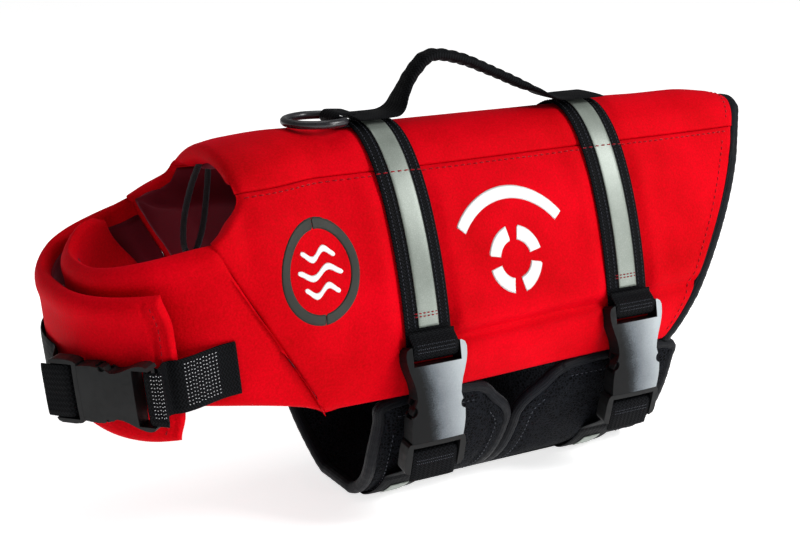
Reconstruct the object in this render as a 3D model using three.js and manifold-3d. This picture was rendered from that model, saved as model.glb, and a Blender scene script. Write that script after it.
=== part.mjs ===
// A buoyancy jacket for a small dog: a padded neoprene saddle that lies over the back, a chest that wraps
// round the front and overlaps itself, a mesh belly band under the body, and three side-release buckles.
// Millimetres, +Z up. +X points to the tail and -Y to the dog's left, where the buckles are.
// The origin is the middle of the belly band's flat underside, which the jacket stands on.
import * as THREE from "three";
import { mergeVertices } from "three/addons/utils/BufferGeometryUtils.js";
import Module from "manifold-3d";

const wasm = await Module();
wasm.setup();

// ---- Driving dimensions ----
const gap = 0.3; // between pieces that touch
const seamGap = 0.8; // between panels that are sewn edge to edge

// The saddle's outer face
const backHeight = 188; // top of the back
const widestHeight = 87; // where the section is widest
const seamHeight = 171; // seam between spine panel and side panel
const hemHeight = 68;
const shoulderHalfWidth = 59.5; // at the front strap
const waistHalfWidth = 54; // at the rear strap
const tailHalfWidth = 51;
const neckHalfWidth = 58.3; // where the chest begins to curve in
const neckFrontX = -147; // front edge of the spine panel
const spineRearX = 164;
const seamRearX = 152; // rear edge at the seam
const hemRearX = 88; // rear edge at the hem
const chestStartX = -119; // where the chest begins to curve in
const dartBottomX = -116; // the slanting seam between side panel and chest, at the hem
const dartTopX = -167; // and at the neck
const dartTopHeight = 153;

// Layers of the padding
const coverThickness = 3;
const foamThickness = 9.3;
const liningThickness = 2;
const flapCover = 2.5;
const flapLining = 4; // foam-backed
const flapDepth = flapCover + gap + flapLining;

// Chest: a superellipse in plan, leaning forward at its top
const chestLean = THREE.MathUtils.degToRad(6);
const chestPivotHeight = 108;
const chestReach = 92; // from chestStartX to the front of the inner flap
const chestPower = 2.8;
const patchThickness = 1.1;
const outerFlapLift = 2 * patchThickness + 5 * gap + flapDepth; // outer face over inner flap
const flapHem = 76; // heights in the leaning frame
const flapFrontHem = 90;
const innerRim = 150;
const outerRim = 142;
const outerFlapTurn = 62; // how far the outer flap's end lies behind the front, round the near side
const innerFlapTurn = 74; // and the inner flap's end, round the far side

// Webbing and its fittings
const webWidth = 25;
const webThickness = 1.5;
const tapeWidth = 11;
const tapeThickness = 0.5;
const strapX = 61; // body straps stand this far before and behind the origin
const foldHalfWidth = 5.5; // the grab handle's webbing, folded double

// Belly band
const hemAxisY = 55; // the band swings about this line, inside the far hem
const hemAxisZ = 64.4;
const bandTop = 60.4;
const padThickness = 6;
const bindingRadius = 3.2;
const bandFrontX = -79;
const bandRearX = 92;
const padGapX = -4; // middle of the gap between the two pads
const padGapHalf = 7.7;
const bandDepth = 88; // half height of the band's oval, cut off flat underneath
const bandBottom = 2.1; // underside of the pads

// Buckles, drawn flat. The body buckles are then bent round the belly band's hinge line.
const frontBuckleRadius = hemAxisY + shoulderHalfWidth + 7;
const rearBuckleRadius = hemAxisY + waistHalfWidth + 7.5;
const mouthHeight = 47.5; // where plug and socket meet
const bodyBuckle = {
  length: 46, halfWidth: webWidth / 2 + 4, waist: webWidth / 2 + 1.3, mouth: webWidth / 2 + 2.5,
  halfThickness: 4.4, slot: 6.5, slotHalf: webWidth / 2 + 0.5, bar: 2.4, barHalf: 1.2,
  cavity: 25, cavityHalf: webWidth / 2 - 0.3, cavityThrough: 2.7, windowLow: 12, windowHigh: 21,
  guide: 2.4, frame: 16.5, clearance: 0.35,
};
const chestBuckle = {
  ...bodyBuckle, length: 37, halfWidth: webWidth / 2 + 2.7, waist: webWidth / 2 + 0.9,
  mouth: webWidth / 2 + 1.9, halfThickness: 4, slot: 6.2, cavity: 20, cavityHalf: webWidth / 2 - 0.7,
  windowLow: 9, windowHigh: 16, frame: 15,
};
const chestStrapHeight = 101;
const chestBuckleTurn = THREE.MathUtils.degToRad(36); // its outward normal, round from the front
const bridgeWidth = 26;

// Top fittings
const ringBarX = -strapX - webWidth / 2 - 5.5;
const ringHalf = 14;
const ringReach = 25;
const ringWire = 1.8;
const ringPlay = 0.5;
const ringLoopWidth = 20;
const bindingSide = 3;
const handleAxisZ = backHeight + 6.3;

// ---- Solids ----
const smooth = (v) => THREE.MathUtils.smoothstep(v, 0, 1);
const mix = THREE.MathUtils.lerp;
const vec = (x, y, z) => new THREE.Vector3(x, y, z);

// A closed BufferGeometry from points and triangles, turned so that its faces point out.
function closedGeometry(points, faces) {
  const geometry = new THREE.BufferGeometry();
  geometry.setAttribute("position", new THREE.Float32BufferAttribute(points.flatMap((p) => p.toArray()), 3));
  let volume = 0;
  for (let i = 0; i < faces.length; i += 3) {
    const [a, b, c] = [points[faces[i]], points[faces[i + 1]], points[faces[i + 2]]];
    volume += a.dot(b.clone().cross(c));
  }
  geometry.setIndex(volume < 0 ? faces.slice().reverse() : faces);
  return geometry;
}

// The solid between two surfaces that are given over the unit square.
function sheet(outer, inner, across, along) {
  const points = [];
  const faces = [];
  const at = (layer, i, j) => (layer * (across + 1) + i) * (along + 1) + j;
  const quad = (a, b, c, d) => faces.push(a, b, c, a, c, d);
  for (const face of [outer, inner])
    for (let i = 0; i <= across; i++)
      for (let j = 0; j <= along; j++) points.push(face(i / across, j / along));
  for (let i = 0; i < across; i++)
    for (let j = 0; j < along; j++) {
      quad(at(0, i, j), at(0, i + 1, j), at(0, i + 1, j + 1), at(0, i, j + 1));
      quad(at(1, i, j), at(1, i, j + 1), at(1, i + 1, j + 1), at(1, i + 1, j));
    }
  for (let i = 0; i < across; i++) {
    quad(at(0, i, 0), at(1, i, 0), at(1, i + 1, 0), at(0, i + 1, 0));
    quad(at(0, i, along), at(0, i + 1, along), at(1, i + 1, along), at(1, i, along));
  }
  for (let j = 0; j < along; j++) {
    quad(at(0, 0, j), at(0, 0, j + 1), at(1, 0, j + 1), at(1, 0, j));
    quad(at(0, across, j), at(1, across, j), at(1, across, j + 1), at(0, across, j + 1));
  }
  return closedGeometry(points, faces);
}

// Stations over 0 to 1 with a narrow step at each end, where the layers of a padded panel close up.
function stations(count, edge) {
  const inner = Array.from({ length: count - 1 }, (_, i) => mix(edge, 1 - edge, i / (count - 2)));
  return [0, ...inner, 1];
}

// A solid between two depths under a face, measured along the face's normal. inset drops that many of the
// grid's outer cells all round, so that the layers of one panel share their facets.
function layer(face, near, far, us, vs, inset = 0) {
  const step = 1e-3;
  const normal = (u, v) => {
    const u0 = Math.min(Math.max(u, step), 1 - step);
    const v0 = Math.min(Math.max(v, step), 1 - step);
    const du = face(u0 + step, v0).sub(face(u0 - step, v0));
    const dv = face(u0, v0 + step).sub(face(u0, v0 - step));
    return du.cross(dv).normalize();
  };
  const across = us.length - 1 - 2 * inset;
  const along = vs.length - 1 - 2 * inset;
  const surface = (depth) => (p, q) => {
    const i = Math.round(p * across) + inset;
    const j = Math.round(q * along) + inset;
    const edge = Math.min(i, j, us.length - 1 - i, vs.length - 1 - j);
    return face(us[i], vs[j]).addScaledVector(normal(us[i], vs[j]), depth(edge));
  };
  return sheet(surface(near), surface(far), across, along);
}

// A closed loop or an open stretch of round cord along a path of points.
function cord(path, radius, sides, steps, closed) {
  const points = [];
  const faces = [];
  const frames = path.computeFrenetFrames(steps, closed);
  const rings = closed ? steps : steps + 1;
  for (let i = 0; i < rings; i++)
    for (let j = 0; j < sides; j++) {
      const angle = (2 * Math.PI * j) / sides;
      points.push(path.getPointAt(i / steps)
        .addScaledVector(frames.normals[i], radius * Math.cos(angle))
        .addScaledVector(frames.binormals[i], radius * Math.sin(angle)));
    }
  const at = (i, j) => (i % rings) * sides + (j % sides);
  for (let i = 0; i < (closed ? rings : rings - 1); i++)
    for (let j = 0; j < sides; j++)
      faces.push(at(i, j), at(i + 1, j), at(i + 1, j + 1), at(i, j), at(i + 1, j + 1), at(i, j + 1));
  if (!closed)
    for (let j = 1; j < sides - 1; j++)
      faces.push(at(0, 0), at(0, j), at(0, j + 1), at(rings - 1, 0), at(rings - 1, j + 1), at(rings - 1, j));
  return closedGeometry(points, faces);
}

function manifoldOf(geometry) {
  const bare = geometry.index ? geometry.toNonIndexed() : geometry.clone();
  bare.deleteAttribute("normal");
  bare.deleteAttribute("uv");
  const merged = mergeVertices(bare, 1e-4);
  return new wasm.Manifold(new wasm.Mesh({
    numProp: 3,
    vertProperties: merged.attributes.position.array,
    triVerts: new Uint32Array(merged.index.array),
  }));
}

function geometryOf(solid) {
  const { numProp, numVert, vertProperties, triVerts } = solid.getMesh();
  const position = new Float32Array(numVert * 3);
  for (let i = 0; i < numVert; i++) position.set(vertProperties.subarray(i * numProp, i * numProp + 3), i * 3);
  return new THREE.BufferGeometry()
    .setAttribute("position", new THREE.BufferAttribute(position, 3))
    .setIndex(new THREE.BufferAttribute(triVerts, 1));
}

// ---- The body's outer face ----
// Half width of the section at a station.
function halfWidth(x) {
  if (x < chestStartX) {
    const along = Math.min((chestStartX - x) / chestReach, 1);
    return neckHalfWidth * (1 - along ** chestPower) ** (1 / chestPower);
  }
  const toShoulder = smooth((x - chestStartX) / (-strapX - chestStartX));
  const toWaist = smooth((x + strapX) / (2 * strapX));
  const toTail = smooth((x - strapX) / (seamRearX - strapX));
  return neckHalfWidth + (shoulderHalfWidth - neckHalfWidth) * toShoulder +
    (waistHalfWidth - shoulderHalfWidth) * toWaist + (tailHalfWidth - waistHalfWidth) * toTail;
}

// The section's power: a peaked back at 1.4, and upright walls at the neck.
const squareness = (x) => 1.4 + 2.6 * smooth((-100 - x) / 50) + 5 * smooth((-148 - x) / 20);
const ridgeHeight = (x) => backHeight - 5 * smooth((x - 130) / 45) - 3 * smooth((-110 - x) / 40);
const leaningX = (x, z) => x + (z - chestPivotHeight) * Math.tan(chestLean) * smooth((-105 - x) / 14);

// Distance from the middle plane to the outer face, at a station and a height.
function wallY(x, z) {
  const w = halfWidth(leaningX(x, z));
  if (z < widestHeight) return w * Math.sqrt(1 - ((widestHeight - z) / widestHeight) ** 2);
  const rise = Math.min((z - widestHeight) / (ridgeHeight(x) - widestHeight), 1);
  return w * Math.sqrt(1 - rise ** squareness(x));
}

// A point of the section by its girth angle: 0 on the back, a quarter turn at the widest.
function girthPoint(x, angle) {
  const w = halfWidth(x);
  const rise = Math.max(Math.cos(angle), 0) ** (2 / squareness(x));
  const z = Math.abs(angle) > Math.PI / 2
    ? widestHeight * (1 + Math.cos(angle))
    : widestHeight + (ridgeHeight(x) - widestHeight) * rise;
  return vec(x, w * Math.sin(angle), z);
}

// ---- Panels, each a face over the unit square, seen from outside ----
function spineFace(u, v) {
  const bow = 1 - (2 * u - 1) ** 2;
  const x = mix(neckFrontX - 4 + 4 * bow, mix(seamRearX + 1, spineRearX, bow), v);
  const rise = (seamHeight + seamGap / 2 - widestHeight) / (ridgeHeight(x) - widestHeight);
  const reach = Math.asin(Math.sqrt(1 - rise ** squareness(x)));
  return girthPoint(x, mix(-reach, reach, u));
}

const dartX = (z) => mix(dartBottomX, dartTopX, (z - hemHeight) / (dartTopHeight - hemHeight));
function sideFrontX(z) {
  if (z <= dartTopHeight) return dartX(z);
  return mix(dartTopX, neckFrontX - 1, smooth((z - dartTopHeight) / 12));
}
function sideRearX(z) {
  const rise = (z - hemHeight) / (seamHeight - hemHeight);
  return mix(hemRearX, seamRearX, rise ** 0.85);
}
const sideFace = (side) => (u, v) => {
  const z = mix(hemHeight, seamHeight - seamGap / 2, v);
  const x = mix(sideFrontX(z), sideRearX(z), u);
  return vec(x, side * wallY(x, z), z);
};

// The chest's plan in the leaning frame, by arc length from the near side round the front to the far side.
const planCurve = new THREE.SplineCurve(Array.from({ length: 41 }, (_, i) => {
  const angle = mix(-Math.PI / 2, Math.PI / 2, i / 40);
  const share = (value) => Math.sign(value) * Math.abs(value) ** (2 / chestPower);
  return new THREE.Vector2(
    chestStartX - chestReach * share(Math.cos(angle)), neckHalfWidth * share(Math.sin(angle)));
}));
planCurve.arcLengthDivisions = 400;
const planLength = planCurve.getLength();
function planPoint(s, offset) {
  const t = THREE.MathUtils.clamp(s / planLength, 0, 1);
  const way = planCurve.getTangentAt(t);
  const p = planCurve.getPointAt(t);
  return [p.x - way.y * offset, p.y + way.x * offset];
}
// Arc length of the near side's wall at a station.
const planStart = (x) => {
  let s = 0;
  while (s < planLength / 2 && planPoint(s, 0)[0] > x) s += 0.5;
  return s;
};

// A point of the leaning frame, in the jacket's frame.
function lean(x, y, height) {
  const dx = x - chestStartX;
  const dz = height - chestPivotHeight;
  return vec(
    chestStartX + dx * Math.cos(chestLean) - dz * Math.sin(chestLean), y,
    chestPivotHeight + dx * Math.sin(chestLean) + dz * Math.cos(chestLean),
  );
}

// A flap grows out of its side panel at the dart and goes round the front. s is counted from the near side,
// and from the far side for the outer flap. lift, low and high are functions of the share done.
function flapFace(side, end, lift, low, high) {
  return (u, v) => {
    const z = mix(hemHeight, dartTopHeight, v);
    const x = dartX(z) - seamGap;
    const s = mix(planStart(leaningX(x, z)), end(v), u);
    const [px, py] = planPoint(s, lift(u));
    const onDart = vec(x, side * wallY(x, z), z);
    return onDart.lerp(lean(px, -side * py, mix(low(u), high(u), v)), smooth(u * 4.5));
  };
}
const rounded = (v, size) => size * (smooth((v - 0.7) / 0.3) ** 2 + smooth((0.25 - v) / 0.25) ** 2);

// Inner flap: the near side's chest, whose end lies inside the outer flap on the far side.
const innerFlapFace = flapFace(
  -1, (v) => planLength / 2 + innerFlapTurn - rounded(v, 8),
  (u) => -9 * smooth((u - 0.55) / 0.45),
  (u) => mix(flapHem, flapFrontHem, smooth(u * 2)),
  (u) => mix(dartTopHeight + 4, innerRim, smooth(u * 2)) - 4 * smooth((u - 0.8) / 0.2));

// Outer flap: the far side's chest. It lies over the inner flap and ends on the near side.
const outerFlapFace = flapFace(
  1, (v) => planLength / 2 + outerFlapTurn - rounded(v, 3),
  (u) => smooth((u - 0.04) * 3.6) * outerFlapLift,
  (u) => mix(mix(flapHem, flapFrontHem, smooth(u * 2)), flapHem - 2, smooth(u * 2.6 - 1.5)),
  (u) => mix(dartTopHeight + 4, outerRim, smooth(u * 2)));

// ---- Webbing ----
// A flat strip along a path in a plane, drawn out to its width and placed by a function.
function strip(path, thickness, width, place) {
  const point = (i) => new THREE.Vector2(...path[Math.min(Math.max(i, 0), path.length - 1)]);
  const side = (sign) => path.map((p, i) => {
    const way = point(i + 1).sub(point(i)).normalize().add(point(i).sub(point(i - 1)).normalize()).normalize();
    return [p[0] - (way.y * sign * thickness) / 2, p[1] + (way.x * sign * thickness) / 2];
  });
  const [left, right] = [side(1), side(-1)];
  const steps = path.length - 1;
  const face = (edge) => (u, v) => place(...edge[Math.round(u * steps)], (v - 0.5) * width);
  return sheet(face(left), face(right), steps, 1);
}
const acrossBody = (x) => (y, z, w) => vec(x + w, y, z);
const alongBody = (y) => (x, z, w) => vec(x, y + w, z);

// A hairpin round a bar: the strip comes up to the bar on one side and returns on the other.
function hairpin(centre, towards, radius, sign) {
  return [-90, -60, -30, 0, 30, 60, 90].map((degrees) => {
    const angle = THREE.MathUtils.degToRad(degrees) * sign;
    const way = new THREE.Vector2(...towards).rotateAround(new THREE.Vector2(), angle);
    return [centre[0] + way.x * radius, centre[1] + way.y * radius];
  });
}

// The section of the saddle at a station as a path in the YZ plane, lifted off it.
function sectionPath(x, from, to, steps, lift) {
  return Array.from({ length: steps + 1 }, (_, i) => {
    const angle = mix(from, to, i / steps);
    const p = girthPoint(x, angle);
    const q = girthPoint(x, angle + 0.01).sub(girthPoint(x, angle - 0.01)).normalize();
    return [p.y - q.z * lift, p.z + q.y * lift];
  });
}

// ---- Buckles, drawn flat: across, then along from the mouth, then through ----
function box(across, low, high, through, thick = null) {
  const shape = new THREE.BoxGeometry(2 * across, high - low, thick ?? 2 * through);
  return manifoldOf(shape.translate(0, (low + high) / 2, thick === null ? 0 : through));
}
function plate(outline, thickness) {
  const both = [...outline, ...outline.toReversed().map(([x, y]) => [-x, y])];
  const shape = new THREE.Shape(both.map((p) => new THREE.Vector2(...p)));
  const geometry = new THREE.ExtrudeGeometry(shape, { depth: 2 * thickness, bevelEnabled: false });
  return manifoldOf(geometry.translate(0, 0, -thickness));
}

function socketSolid(b) {
  const shape = plate([
    [b.mouth, 0], [b.halfWidth, 5], [b.halfWidth, 11], [b.waist, 16.5], [b.waist, 21],
    [b.halfWidth, 28], [b.halfWidth, b.length - 3], [b.halfWidth - 3, b.length],
  ], b.halfThickness);
  const cavity = box(b.cavityHalf, -1, b.cavity, b.cavityThrough);
  const windows = box(b.halfWidth + 1, b.windowLow, b.windowHigh, b.cavityThrough);
  const slot = box(b.slotHalf, b.length - b.bar - b.slot, b.length - b.bar, b.halfThickness + 1);
  const relief = [-1, 1].map((side) => box(
    b.slotHalf, b.length - b.bar - b.slot, b.length + 1,
    side * (b.barHalf + 5), 10));
  return shape.subtract(cavity).subtract(windows).subtract(slot).subtract(relief[0]).subtract(relief[1]);
}

function plugSolid(b) {
  const top = -b.clearance;
  const frame = plate([
    [b.halfWidth - 3, top - b.frame], [b.halfWidth, top - b.frame + 3], [b.halfWidth, top - 3], [b.mouth, top],
  ], b.halfThickness - 0.4);
  const opening = box(b.slotHalf, top - b.frame + b.bar, top - b.bar, b.halfThickness);
  const relief = [-1, 1].map((side) => box(
    b.slotHalf, top - b.frame - 1, top - b.bar, side * (b.barHalf + 5), 10));
  const middleBar = box(b.slotHalf + 0.5, top - b.frame / 2 - b.bar / 2, top - b.frame / 2 + b.bar / 2, b.barHalf);
  const tongue = box(b.guide, top - 0.5, b.cavity - 1, b.cavityThrough - b.clearance);
  return frame.subtract(opening).subtract(relief[0]).subtract(relief[1]).add(middleBar).add(tongue);
}

function prongSolid(b, side) {
  const outer = b.cavityHalf - b.clearance;
  const outline = [
    [outer - 3.2, 0.2], [outer, 0.2], [outer, b.windowLow + 0.4], [outer + 2.4, b.windowLow + 0.8],
    [outer + 2.2, b.windowLow + 4], [outer - 2, b.cavity - 1.5], [outer - 5, b.cavity - 1.5],
    [outer - 4, b.windowLow + 2],
  ];
  const shape = new THREE.Shape(outline.map(([x, y]) => new THREE.Vector2(side * x, y)));
  const through = b.cavityThrough - b.clearance;
  const geometry = new THREE.ExtrudeGeometry(shape, { depth: 2 * through, bevelEnabled: false });
  return manifoldOf(geometry.translate(0, 0, -through));
}

// Bends a flat buckle solid round the belly band's hinge line, so that the plug leaves its socket along an arc.
const bendAngle = (radius, along) => Math.asin((mouthHeight - hemAxisZ) / radius) + along / radius;
function bent(solid, x, radius) {
  return geometryOf(solid.refineToLength(9).warp((p) => {
    const angle = bendAngle(radius, p[1]);
    const r = radius + p[2];
    p[0] += x;
    p[1] = hemAxisY - r * Math.cos(angle);
    p[2] = hemAxisZ + r * Math.sin(angle);
  }));
}
const onArc = (radius, along, through) => {
  const angle = bendAngle(radius, along);
  const r = radius + through;
  return [hemAxisY - r * Math.cos(angle), hemAxisZ + r * Math.sin(angle)];
};

// ---- Meshes ----
const root = new THREE.Group();
const red = new THREE.MeshStandardMaterial({ color: 0xd8060c, roughness: 0.75, metalness: 0 });
const black = new THREE.MeshStandardMaterial({ color: 0x0b0b0d, roughness: 0.8, metalness: 0 });
const plastic = new THREE.MeshStandardMaterial({ color: 0x2a2d30, roughness: 0.35, metalness: 0 });
const silver = new THREE.MeshStandardMaterial({ color: 0xb5bab0, roughness: 0.4, metalness: 0.1 });
const padding = new THREE.MeshStandardMaterial({ color: 0x101014, roughness: 0.95, metalness: 0 });
const foam = new THREE.MeshStandardMaterial({ color: 0xe8e4d8, roughness: 0.9, metalness: 0 });
const lining = new THREE.MeshStandardMaterial({ color: 0x3d060e, roughness: 0.9, metalness: 0 });

function add(name, geometry, material) {
  const made = new THREE.Mesh(geometry, material);
  made.name = name;
  root.add(made);
}

// Cover, foam core and lining of a padded panel. The lining closes on the cover along the panel's edges.
function paddedPanel(name, face, inward, across, along, vs = stations(along, 0.1)) {
  const us = stations(across, 0.07);
  const foamTop = coverThickness + gap;
  const core = (edge) => (edge === 0 ? 0 : edge === 1 ? 0.55 : 1) * foamThickness;
  add(name + "_cover", layer(face, () => 0, () => inward * coverThickness, us, vs), red);
  add(name + "_foam", layer(face, () => inward * foamTop, (edge) => inward * (foamTop + core(edge)), us, vs, 1), foam);
  add(name + "_lining", layer(
    face, (edge) => inward * (foamTop + core(edge) + (edge ? gap : 0)),
    (edge) => inward * (foamTop + core(edge) + (edge ? gap : 0) + liningThickness), us, vs), lining);
}
paddedPanel("spine", spineFace, 1, 7, 12);
const dartTop = (dartTopHeight - hemHeight) / (seamHeight - seamGap / 2 - hemHeight);
const sideRows = [0, 0.1, 0.25, 0.4, 0.55, 0.7, dartTop, 0.88, 0.93, 1];
paddedPanel("left_side", sideFace(-1), -1, 12, 9, sideRows);
paddedPanel("right_side", sideFace(1), 1, 12, 9, sideRows);

function chestFlap(name, face, inward, across, along) {
  const us = stations(across, 0.03);
  const vs = stations(along, 0.08);
  const under = flapCover + gap;
  add(name + "_cover", layer(face, () => 0, () => inward * flapCover, us, vs), red);
  add(name + "_lining", layer(face, () => inward * under, () => inward * (under + flapLining), us, vs), lining);
}
chestFlap("left_chest", innerFlapFace, 1, 18, 5);
chestFlap("right_chest", outerFlapFace, -1, 22, 5);

// Belly band: two mesh pads with a thick bound edge. The band hangs on the far hem and swings about it.
function bandPoint(x, angle, raise) {
  const w = halfWidth(Math.max(x, chestStartX)) - raise;
  const z = Math.max(widestHeight - (bandDepth - raise) * Math.cos(angle), bandBottom + raise);
  return vec(x, w * Math.sin(angle), z);
}
const bandAngle = (z, raise) => Math.acos((widestHeight - z) / (bandDepth - raise));
function padRegion(xFront, xRear) {
  return (raise, margin, top) => (u, v) => {
    const reach = bandAngle(top, padThickness / 2);
    const angle = mix(-reach, reach, v);
    const z = widestHeight - bandDepth * Math.cos(angle);
    const slant = (edge) => margin * Math.hypot(1, edge(z + 0.5) - edge(z - 0.5));
    return bandPoint(mix(xFront(z) - slant(xFront), xRear(z) + slant(xRear), u), angle, raise);
  };
}
const padFlare = (z, size) => size * smooth((z - 38) / 26);
const frontPad = padRegion((z) => bandFrontX + 5 * smooth((40 - z) / 40), (z) => padGapX - padGapHalf - padFlare(z, 20));
const rearPad = padRegion((z) => padGapX + padGapHalf + padFlare(z, 26), () => bandRearX);
function bellyPad(name, region) {
  const stepsAround = 18;
  const us = stations(4, 0.12);
  const outer = region(0, 0, bandTop);
  const inner = region(padThickness, 0, bandTop);
  add(name + "_pad", sheet(
    (p, q) => outer(us[Math.round(p * 4)], q), (p, q) => inner(us[Math.round(p * 4)], q), 4, stepsAround), padding);
  const edge = region(padThickness / 2, bindingRadius + 1.2, hemAxisZ);
  const [cornerU, cornerV] = [0.03, 0.012];
  const path = [];
  for (let j = 0; j <= stepsAround; j++) path.push(edge(0, mix(cornerV, 1 - cornerV, j / stepsAround)));
  for (let i = 0; i <= 3; i++) path.push(edge(mix(cornerU, 1 - cornerU, i / 3), 1));
  for (let j = stepsAround; j >= 0; j--) path.push(edge(1, mix(cornerV, 1 - cornerV, j / stepsAround)));
  for (let i = 3; i >= 0; i--) path.push(edge(mix(cornerU, 1 - cornerU, i / 3), 0));
  const loop = new THREE.CatmullRomCurve3(path, true, "centripetal");
  add(name + "_binding", cord(loop, bindingRadius, 8, 64, true), black);
}
bellyPad("front_belly", frontPad);
bellyPad("rear_belly", rearPad);

// Body straps, sockets, plugs and lower straps, once for each end.
const barLift = Math.hypot(bodyBuckle.bar / 2, bodyBuckle.barHalf) + gap + webThickness / 2;
function bodyStrap(name, x, radius) {
  const lift = gap + 0.35 + webThickness / 2;
  const top = onArc(radius, bodyBuckle.length - bodyBuckle.bar / 2, 0);
  const way = new THREE.Vector2(...onArc(radius, bodyBuckle.length - 8, 0)).sub(new THREE.Vector2(...top)).normalize();
  const over = sectionPath(x, -1.38, 1.72, 34, lift);
  const tail = sectionPath(x, -1.34, -1.32, 1, lift + webThickness + gap);
  const loop = hairpin(top, [way.x, way.y], barLift, 1);
  const path = [...tail.reverse(), ...loop, ...over];
  add(name + "_body_strap", strip(path, webThickness, webWidth, acrossBody(x)), black);
  const tape = sectionPath(x, -1.27, 1.6, 30, lift + webThickness / 2 + gap + tapeThickness / 2);
  add(name + "_reflective_tape", strip(tape, tapeThickness, tapeWidth, acrossBody(x)), silver);
  add(name + "_buckle_socket", bent(socketSolid(bodyBuckle), x, radius), plastic);
  add(name + "_buckle_plug", bent(plugSolid(bodyBuckle), x, radius), plastic);
  add(name + "_prong_1", bent(prongSolid(bodyBuckle, -1), x, radius), plastic);
  add(name + "_prong_2", bent(prongSolid(bodyBuckle, 1), x, radius), plastic);
}
bodyStrap("front", -strapX, frontBuckleRadius);
bodyStrap("rear", strapX, rearBuckleRadius);

// Lower straps: from the far hem, under the pads and up to the plug's middle bar.
function lowerStrap(name, x, radius) {
  const bar = onArc(radius, -bodyBuckle.clearance - bodyBuckle.frame / 2, 0);
  const way = new THREE.Vector2(...onArc(radius, 0, 0)).sub(new THREE.Vector2(...bar)).normalize();
  const raise = -gap - 0.35 - webThickness / 2;
  const under = Array.from({ length: 23 }, (_, i) => {
    const p = bandPoint(x, mix(1.18, -0.72, i / 22), raise);
    return [p.y, Math.max(p.z, webThickness / 2)];
  });
  const loop = hairpin(bar, [way.x, way.y], barLift, 1);
  const into = onArc(radius, -bodyBuckle.frame - 1.5, -barLift);
  const end = onArc(radius, -bodyBuckle.frame - 5, barLift);
  add(name + "_lower_strap", strip([...under, into, ...loop, end], webThickness, webWidth, acrossBody(x)), black);
}
lowerStrap("front", -strapX, frontBuckleRadius);
lowerStrap("rear", strapX, rearBuckleRadius);
const bridgeHalf = strapX - webWidth / 2 - gap;
add("belly_bridge", new THREE.BoxGeometry(2 * bridgeHalf, bridgeWidth, webThickness)
  .translate(0, 0, webThickness / 2), black);

// The chest buckle lies straight across the front of the near side, clear of the outer flap.
const outward = new THREE.Vector2(-Math.cos(chestBuckleTurn), -Math.sin(chestBuckleTurn));
const buckleWay = new THREE.Vector2(Math.sin(chestBuckleTurn), -Math.cos(chestBuckleTurn));
let touchS = 0;
for (let s = 0; s < planLength / 2; s += 0.25) {
  const reach = (t) => new THREE.Vector2(...planPoint(t, outerFlapLift)).dot(outward);
  if (reach(s) > reach(touchS)) touchS = s;
}
const touch = new THREE.Vector2(...planPoint(touchS, outerFlapLift));
const chestRise = chestBuckle.halfThickness + 2 * gap;
const mouthShift = (chestBuckle.frame - chestBuckle.length) / 2;
const inPlan = (t, through) => {
  const p = touch.clone().addScaledVector(outward, chestRise + through).addScaledVector(buckleWay, t + mouthShift);
  return [p.x, p.y];
};
function chestFitting(solid) {
  return geometryOf(solid.warp((p) => {
    const [across, t, through] = p;
    [p[0], p[1], p[2]] = lean(...inPlan(t, through), chestStrapHeight - across).toArray();
  }));
}
add("chest_buckle_socket", chestFitting(socketSolid(chestBuckle)), plastic);
add("chest_buckle_plug", chestFitting(plugSolid(chestBuckle)), plastic);
add("chest_prong_1", chestFitting(prongSolid(chestBuckle, -1)), plastic);
add("chest_prong_2", chestFitting(prongSolid(chestBuckle, 1)), plastic);

const leaning = (x, y, w) => lean(x, y, chestStrapHeight + w);
const towards = (way) => [way.x, way.y];
const outerEnd = planLength / 2 - outerFlapTurn;
const socketBar = inPlan(chestBuckle.length - chestBuckle.bar / 2, 0);
const nearPath = [
  ...[24, 18, 12, 6].map((d) => planPoint(outerEnd - d, 0.7 + webThickness / 2)),
  planPoint(outerEnd - 1.5, outerFlapLift + 1.6), planPoint(outerEnd + 4, outerFlapLift + 1.7),
];
add("near_chest_strap", strip([
  ...nearPath, inPlan(chestBuckle.length + 1, -barLift),
  ...hairpin(socketBar, towards(buckleWay.clone().negate()), barLift, 1),
  inPlan(chestBuckle.length + 5, barLift - 0.4),
], webThickness, webWidth, leaning), black);
const plugBar = inPlan(-chestBuckle.clearance - chestBuckle.frame / 2, 0);
const farPath = Array.from({ length: 16 }, (_, i) => (
  planPoint(mix(planLength - 38, planLength / 2 - 4, i / 15), outerFlapLift + 0.7 + webThickness / 2)));
add("far_chest_strap", strip([
  ...farPath, inPlan(-chestBuckle.frame - 1.2, -barLift),
  ...hairpin(plugBar, towards(buckleWay), barLift, -1),
  inPlan(-chestBuckle.frame - 4, barLift),
], webThickness, webWidth, leaning), black);

// Grab handle: webbing folded double in the middle, standing over the spine between two sewn bases.
const handleCurve = new THREE.CatmullRomCurve3(
  [[-43.9, 0.1], [-41.5, 6.7], [-35, 16.7], [-24, 23.7], [-7, 20.7], [12, 10.7], [30, 2.7], [38.6, 0.1]]
    .map(([x, z]) => vec(x, 0, handleAxisZ + z)), false, "centripetal");
const handlePath = [
  [-45.2, handleAxisZ], ...handleCurve.getSpacedPoints(22).map((p) => [p.x, p.z]), [39.8, handleAxisZ]];
add("grab_handle", strip(handlePath, 2 * webThickness, 2 * foldHalfWidth, alongBody(0)), black);
const baseHeight = backHeight + 0.35 + 1.5 * webThickness + tapeThickness + 3 * gap;
const basePath = (from, to) => [[from, baseHeight], [to, baseHeight]];
add("front_handle_base", strip(basePath(-71, -46), webThickness, webWidth, alongBody(0)), black);
add("rear_handle_base", strip(basePath(40.4, 74), webThickness, webWidth, alongBody(0)), black);

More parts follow.
